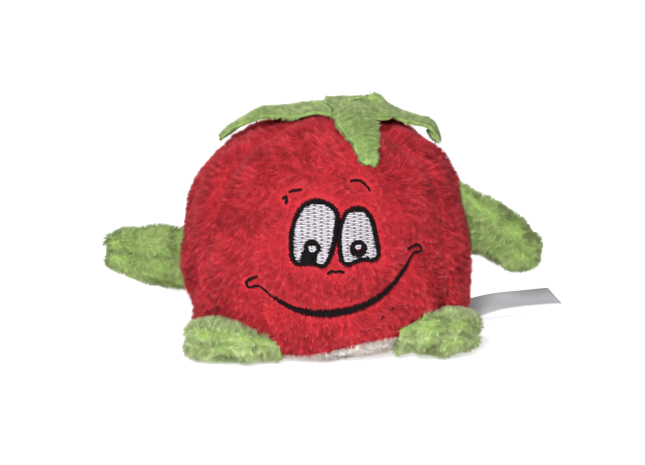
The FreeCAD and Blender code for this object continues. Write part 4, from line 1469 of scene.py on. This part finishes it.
def make_label():
    """Flat satin label sewn in low on the right side."""
    joint = JOINTS["care_label_flap"]
    place = np.array(joint["pos_m"]) / MM
    upright = np.array([0.0, 0.0, 1.0])
    along = unit(np.cross(upright, np.array(joint["axis"])))
    if along[0] < 0:
        along = -along
    across = np.cross(upright, along)
    vertices, faces = upward_skin(*label_points(place, along, across)).thick(LABEL_THICKNESS)
    made = make_object("satin_care_label", vertices, faces, MATERIALS["white_satin"])
    # The map runs along and across the tape in metres, for the ribs.
    layer = made.data.uv_layers.new(name="tape")
    flat = np.array([[(v - place) @ along, (v - place) @ across] for v in vertices]) * MM
    loops = np.empty(len(made.data.loops), dtype=np.int32)
    made.data.loops.foreach_get("vertex_index", loops)
    layer.data.foreach_set("uv", flat[loops].astype(np.float32).ravel())
    hinge = ("label", (place - along * 2.0) * MM, (place + along * 2.0) * MM)
    settle(made, "care_label", hinge)


def make_closing_stitches(body):
    """Slanting ladder stitches down the centre back seam."""
    tree = body.tree()
    low, high = (np.array(corner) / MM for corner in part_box("closing_seam_stitches"))
    paths = []
    for height in np.linspace(low[2] + 1.0, high[2] - 1.0, 5):
        path = []
        for share in np.linspace(-1, 1, 7):
            x = 1.5 * share
            z = height + 0.8 * share
            hit = tree.ray_cast(Vector((x, 80.0, z)), Vector((0, -1, 0)))[0]
            path.append(hit + Vector((0, 1, 0)) * (0.9 + 0.9 * (1 - share * share)))
        paths.append(path)
    thread("hand_stitches", "closing_seam_stitches", paths, 0.4, "red_thread")


# ------------------------------ studio

CAMERA_AZIMUTH = -4.0
CAMERA_HEIGHT = 12.0
CAMERA_DISTANCE = 1400.0
FRAME_WIDTH = 172.5
AIM_RIGHT = -0.7
AIM_UP = 28.5
SENSOR = 36.0
CLIP_END = 20.0
FLOOR_REACH = 15000.0
WALL_HEIGHT = 1400.0
WALL_SIDES = 72
FLOOR_GLOW = 0.55
SURROUND = 0.24


def make_camera():
    """Camera in front, a little to the left of the middle and above."""
    turn = math.radians(CAMERA_AZIMUTH)
    tilt = math.radians(CAMERA_HEIGHT)
    look = Vector((-math.sin(turn) * math.cos(tilt), math.cos(turn) * math.cos(tilt),
                   -math.sin(tilt)))
    right = Vector((math.cos(turn), math.sin(turn), 0))
    up = right.cross(look)
    camera = bpy.data.cameras.new("camera")
    camera.sensor_width = SENSOR
    camera.lens = SENSOR * CAMERA_DISTANCE / FRAME_WIDTH
    camera.clip_start = 0.01
    camera.clip_end = CLIP_END
    made = bpy.data.objects.new("camera", camera)
    bpy.context.scene.collection.objects.link(made)
    target = right * AIM_RIGHT + up * AIM_UP
    made.location = (target - look * CAMERA_DISTANCE) * MM
    made.rotation_euler = look.to_track_quat("-Z", "Y").to_euler()
    bpy.context.scene.camera = made


def area_light(name, place, size, power):
    """Round soft light aimed at the middle of the body."""
    light = bpy.data.lights.new(name, "AREA")
    light.shape = "DISK"
    light.size = size * MM
    light.energy = power
    made = bpy.data.objects.new(name, light)
    bpy.context.scene.collection.objects.link(made)
    made.location = Vector(place) * MM
    way = (Vector((0, 0, 30)) - Vector(place)).normalized()
    made.rotation_euler = way.to_track_quat("-Z", "Y").to_euler()


def make_studio():
    """Pale floor and far wall, soft key light from the front left, weak fill, even surround."""
    floor_material, tree, shader = new_material("pale_floor")
    tone = ramp(tree, noise(tree, 4.0), ((0.3, (0.90, 0.90, 0.90)), (0.7, (0.93, 0.93, 0.93))))
    tree.links.new(tone, shader.inputs["Base Color"])
    set_values(shader, {"Roughness": 0.8, "Emission Color": (1, 1, 1, 1),
                        "Emission Strength": FLOOR_GLOW})
    reach = FLOOR_REACH
    floor = make_object(
        "floor",
        [(-reach, -reach, 0), (reach, -reach, 0), (reach, reach, 0), (-reach, reach, 0)],
        [(0, 1, 2, 3)], floor_material, smooth_shade=False)
    turns = [2 * math.pi * number / WALL_SIDES for number in range(WALL_SIDES)]
    ring = [(reach * math.cos(turn), reach * math.sin(turn)) for turn in turns]
    corners = [(x, y, height) for height in (0, WALL_HEIGHT) for x, y in ring]
    panels = [(n, n + WALL_SIDES, (n + 1) % WALL_SIDES + WALL_SIDES, (n + 1) % WALL_SIDES)
              for n in range(WALL_SIDES)]
    wall = make_object("far_wall", corners, panels, floor_material, smooth_shade=False)
    area_light("key", (-200, -985, 450), 240, 17.4)
    area_light("fill", (500, -800, 500), 500, 1.0)
    area_light("top", (0, 100, 900), 600, 3.0)
    world = bpy.data.worlds.new("surround")
    world.use_nodes = True
    background = world.node_tree.nodes["Background"]
    set_values(background, {"Color": (1, 1, 1, 1), "Strength": SURROUND})
    scene = bpy.context.scene
    scene.world = world
    scene.view_settings.view_transform = "Standard"


# ------------------------------ build

make_camera()
make_studio()
body_skin = make_body()
make_face(body_skin)
make_limbs(body_skin)
for leaf in LEAVES:
    make_leaf(leaf)
make_tack(make_calyx_centre())
make_label()
make_closing_stitches(body_skin)
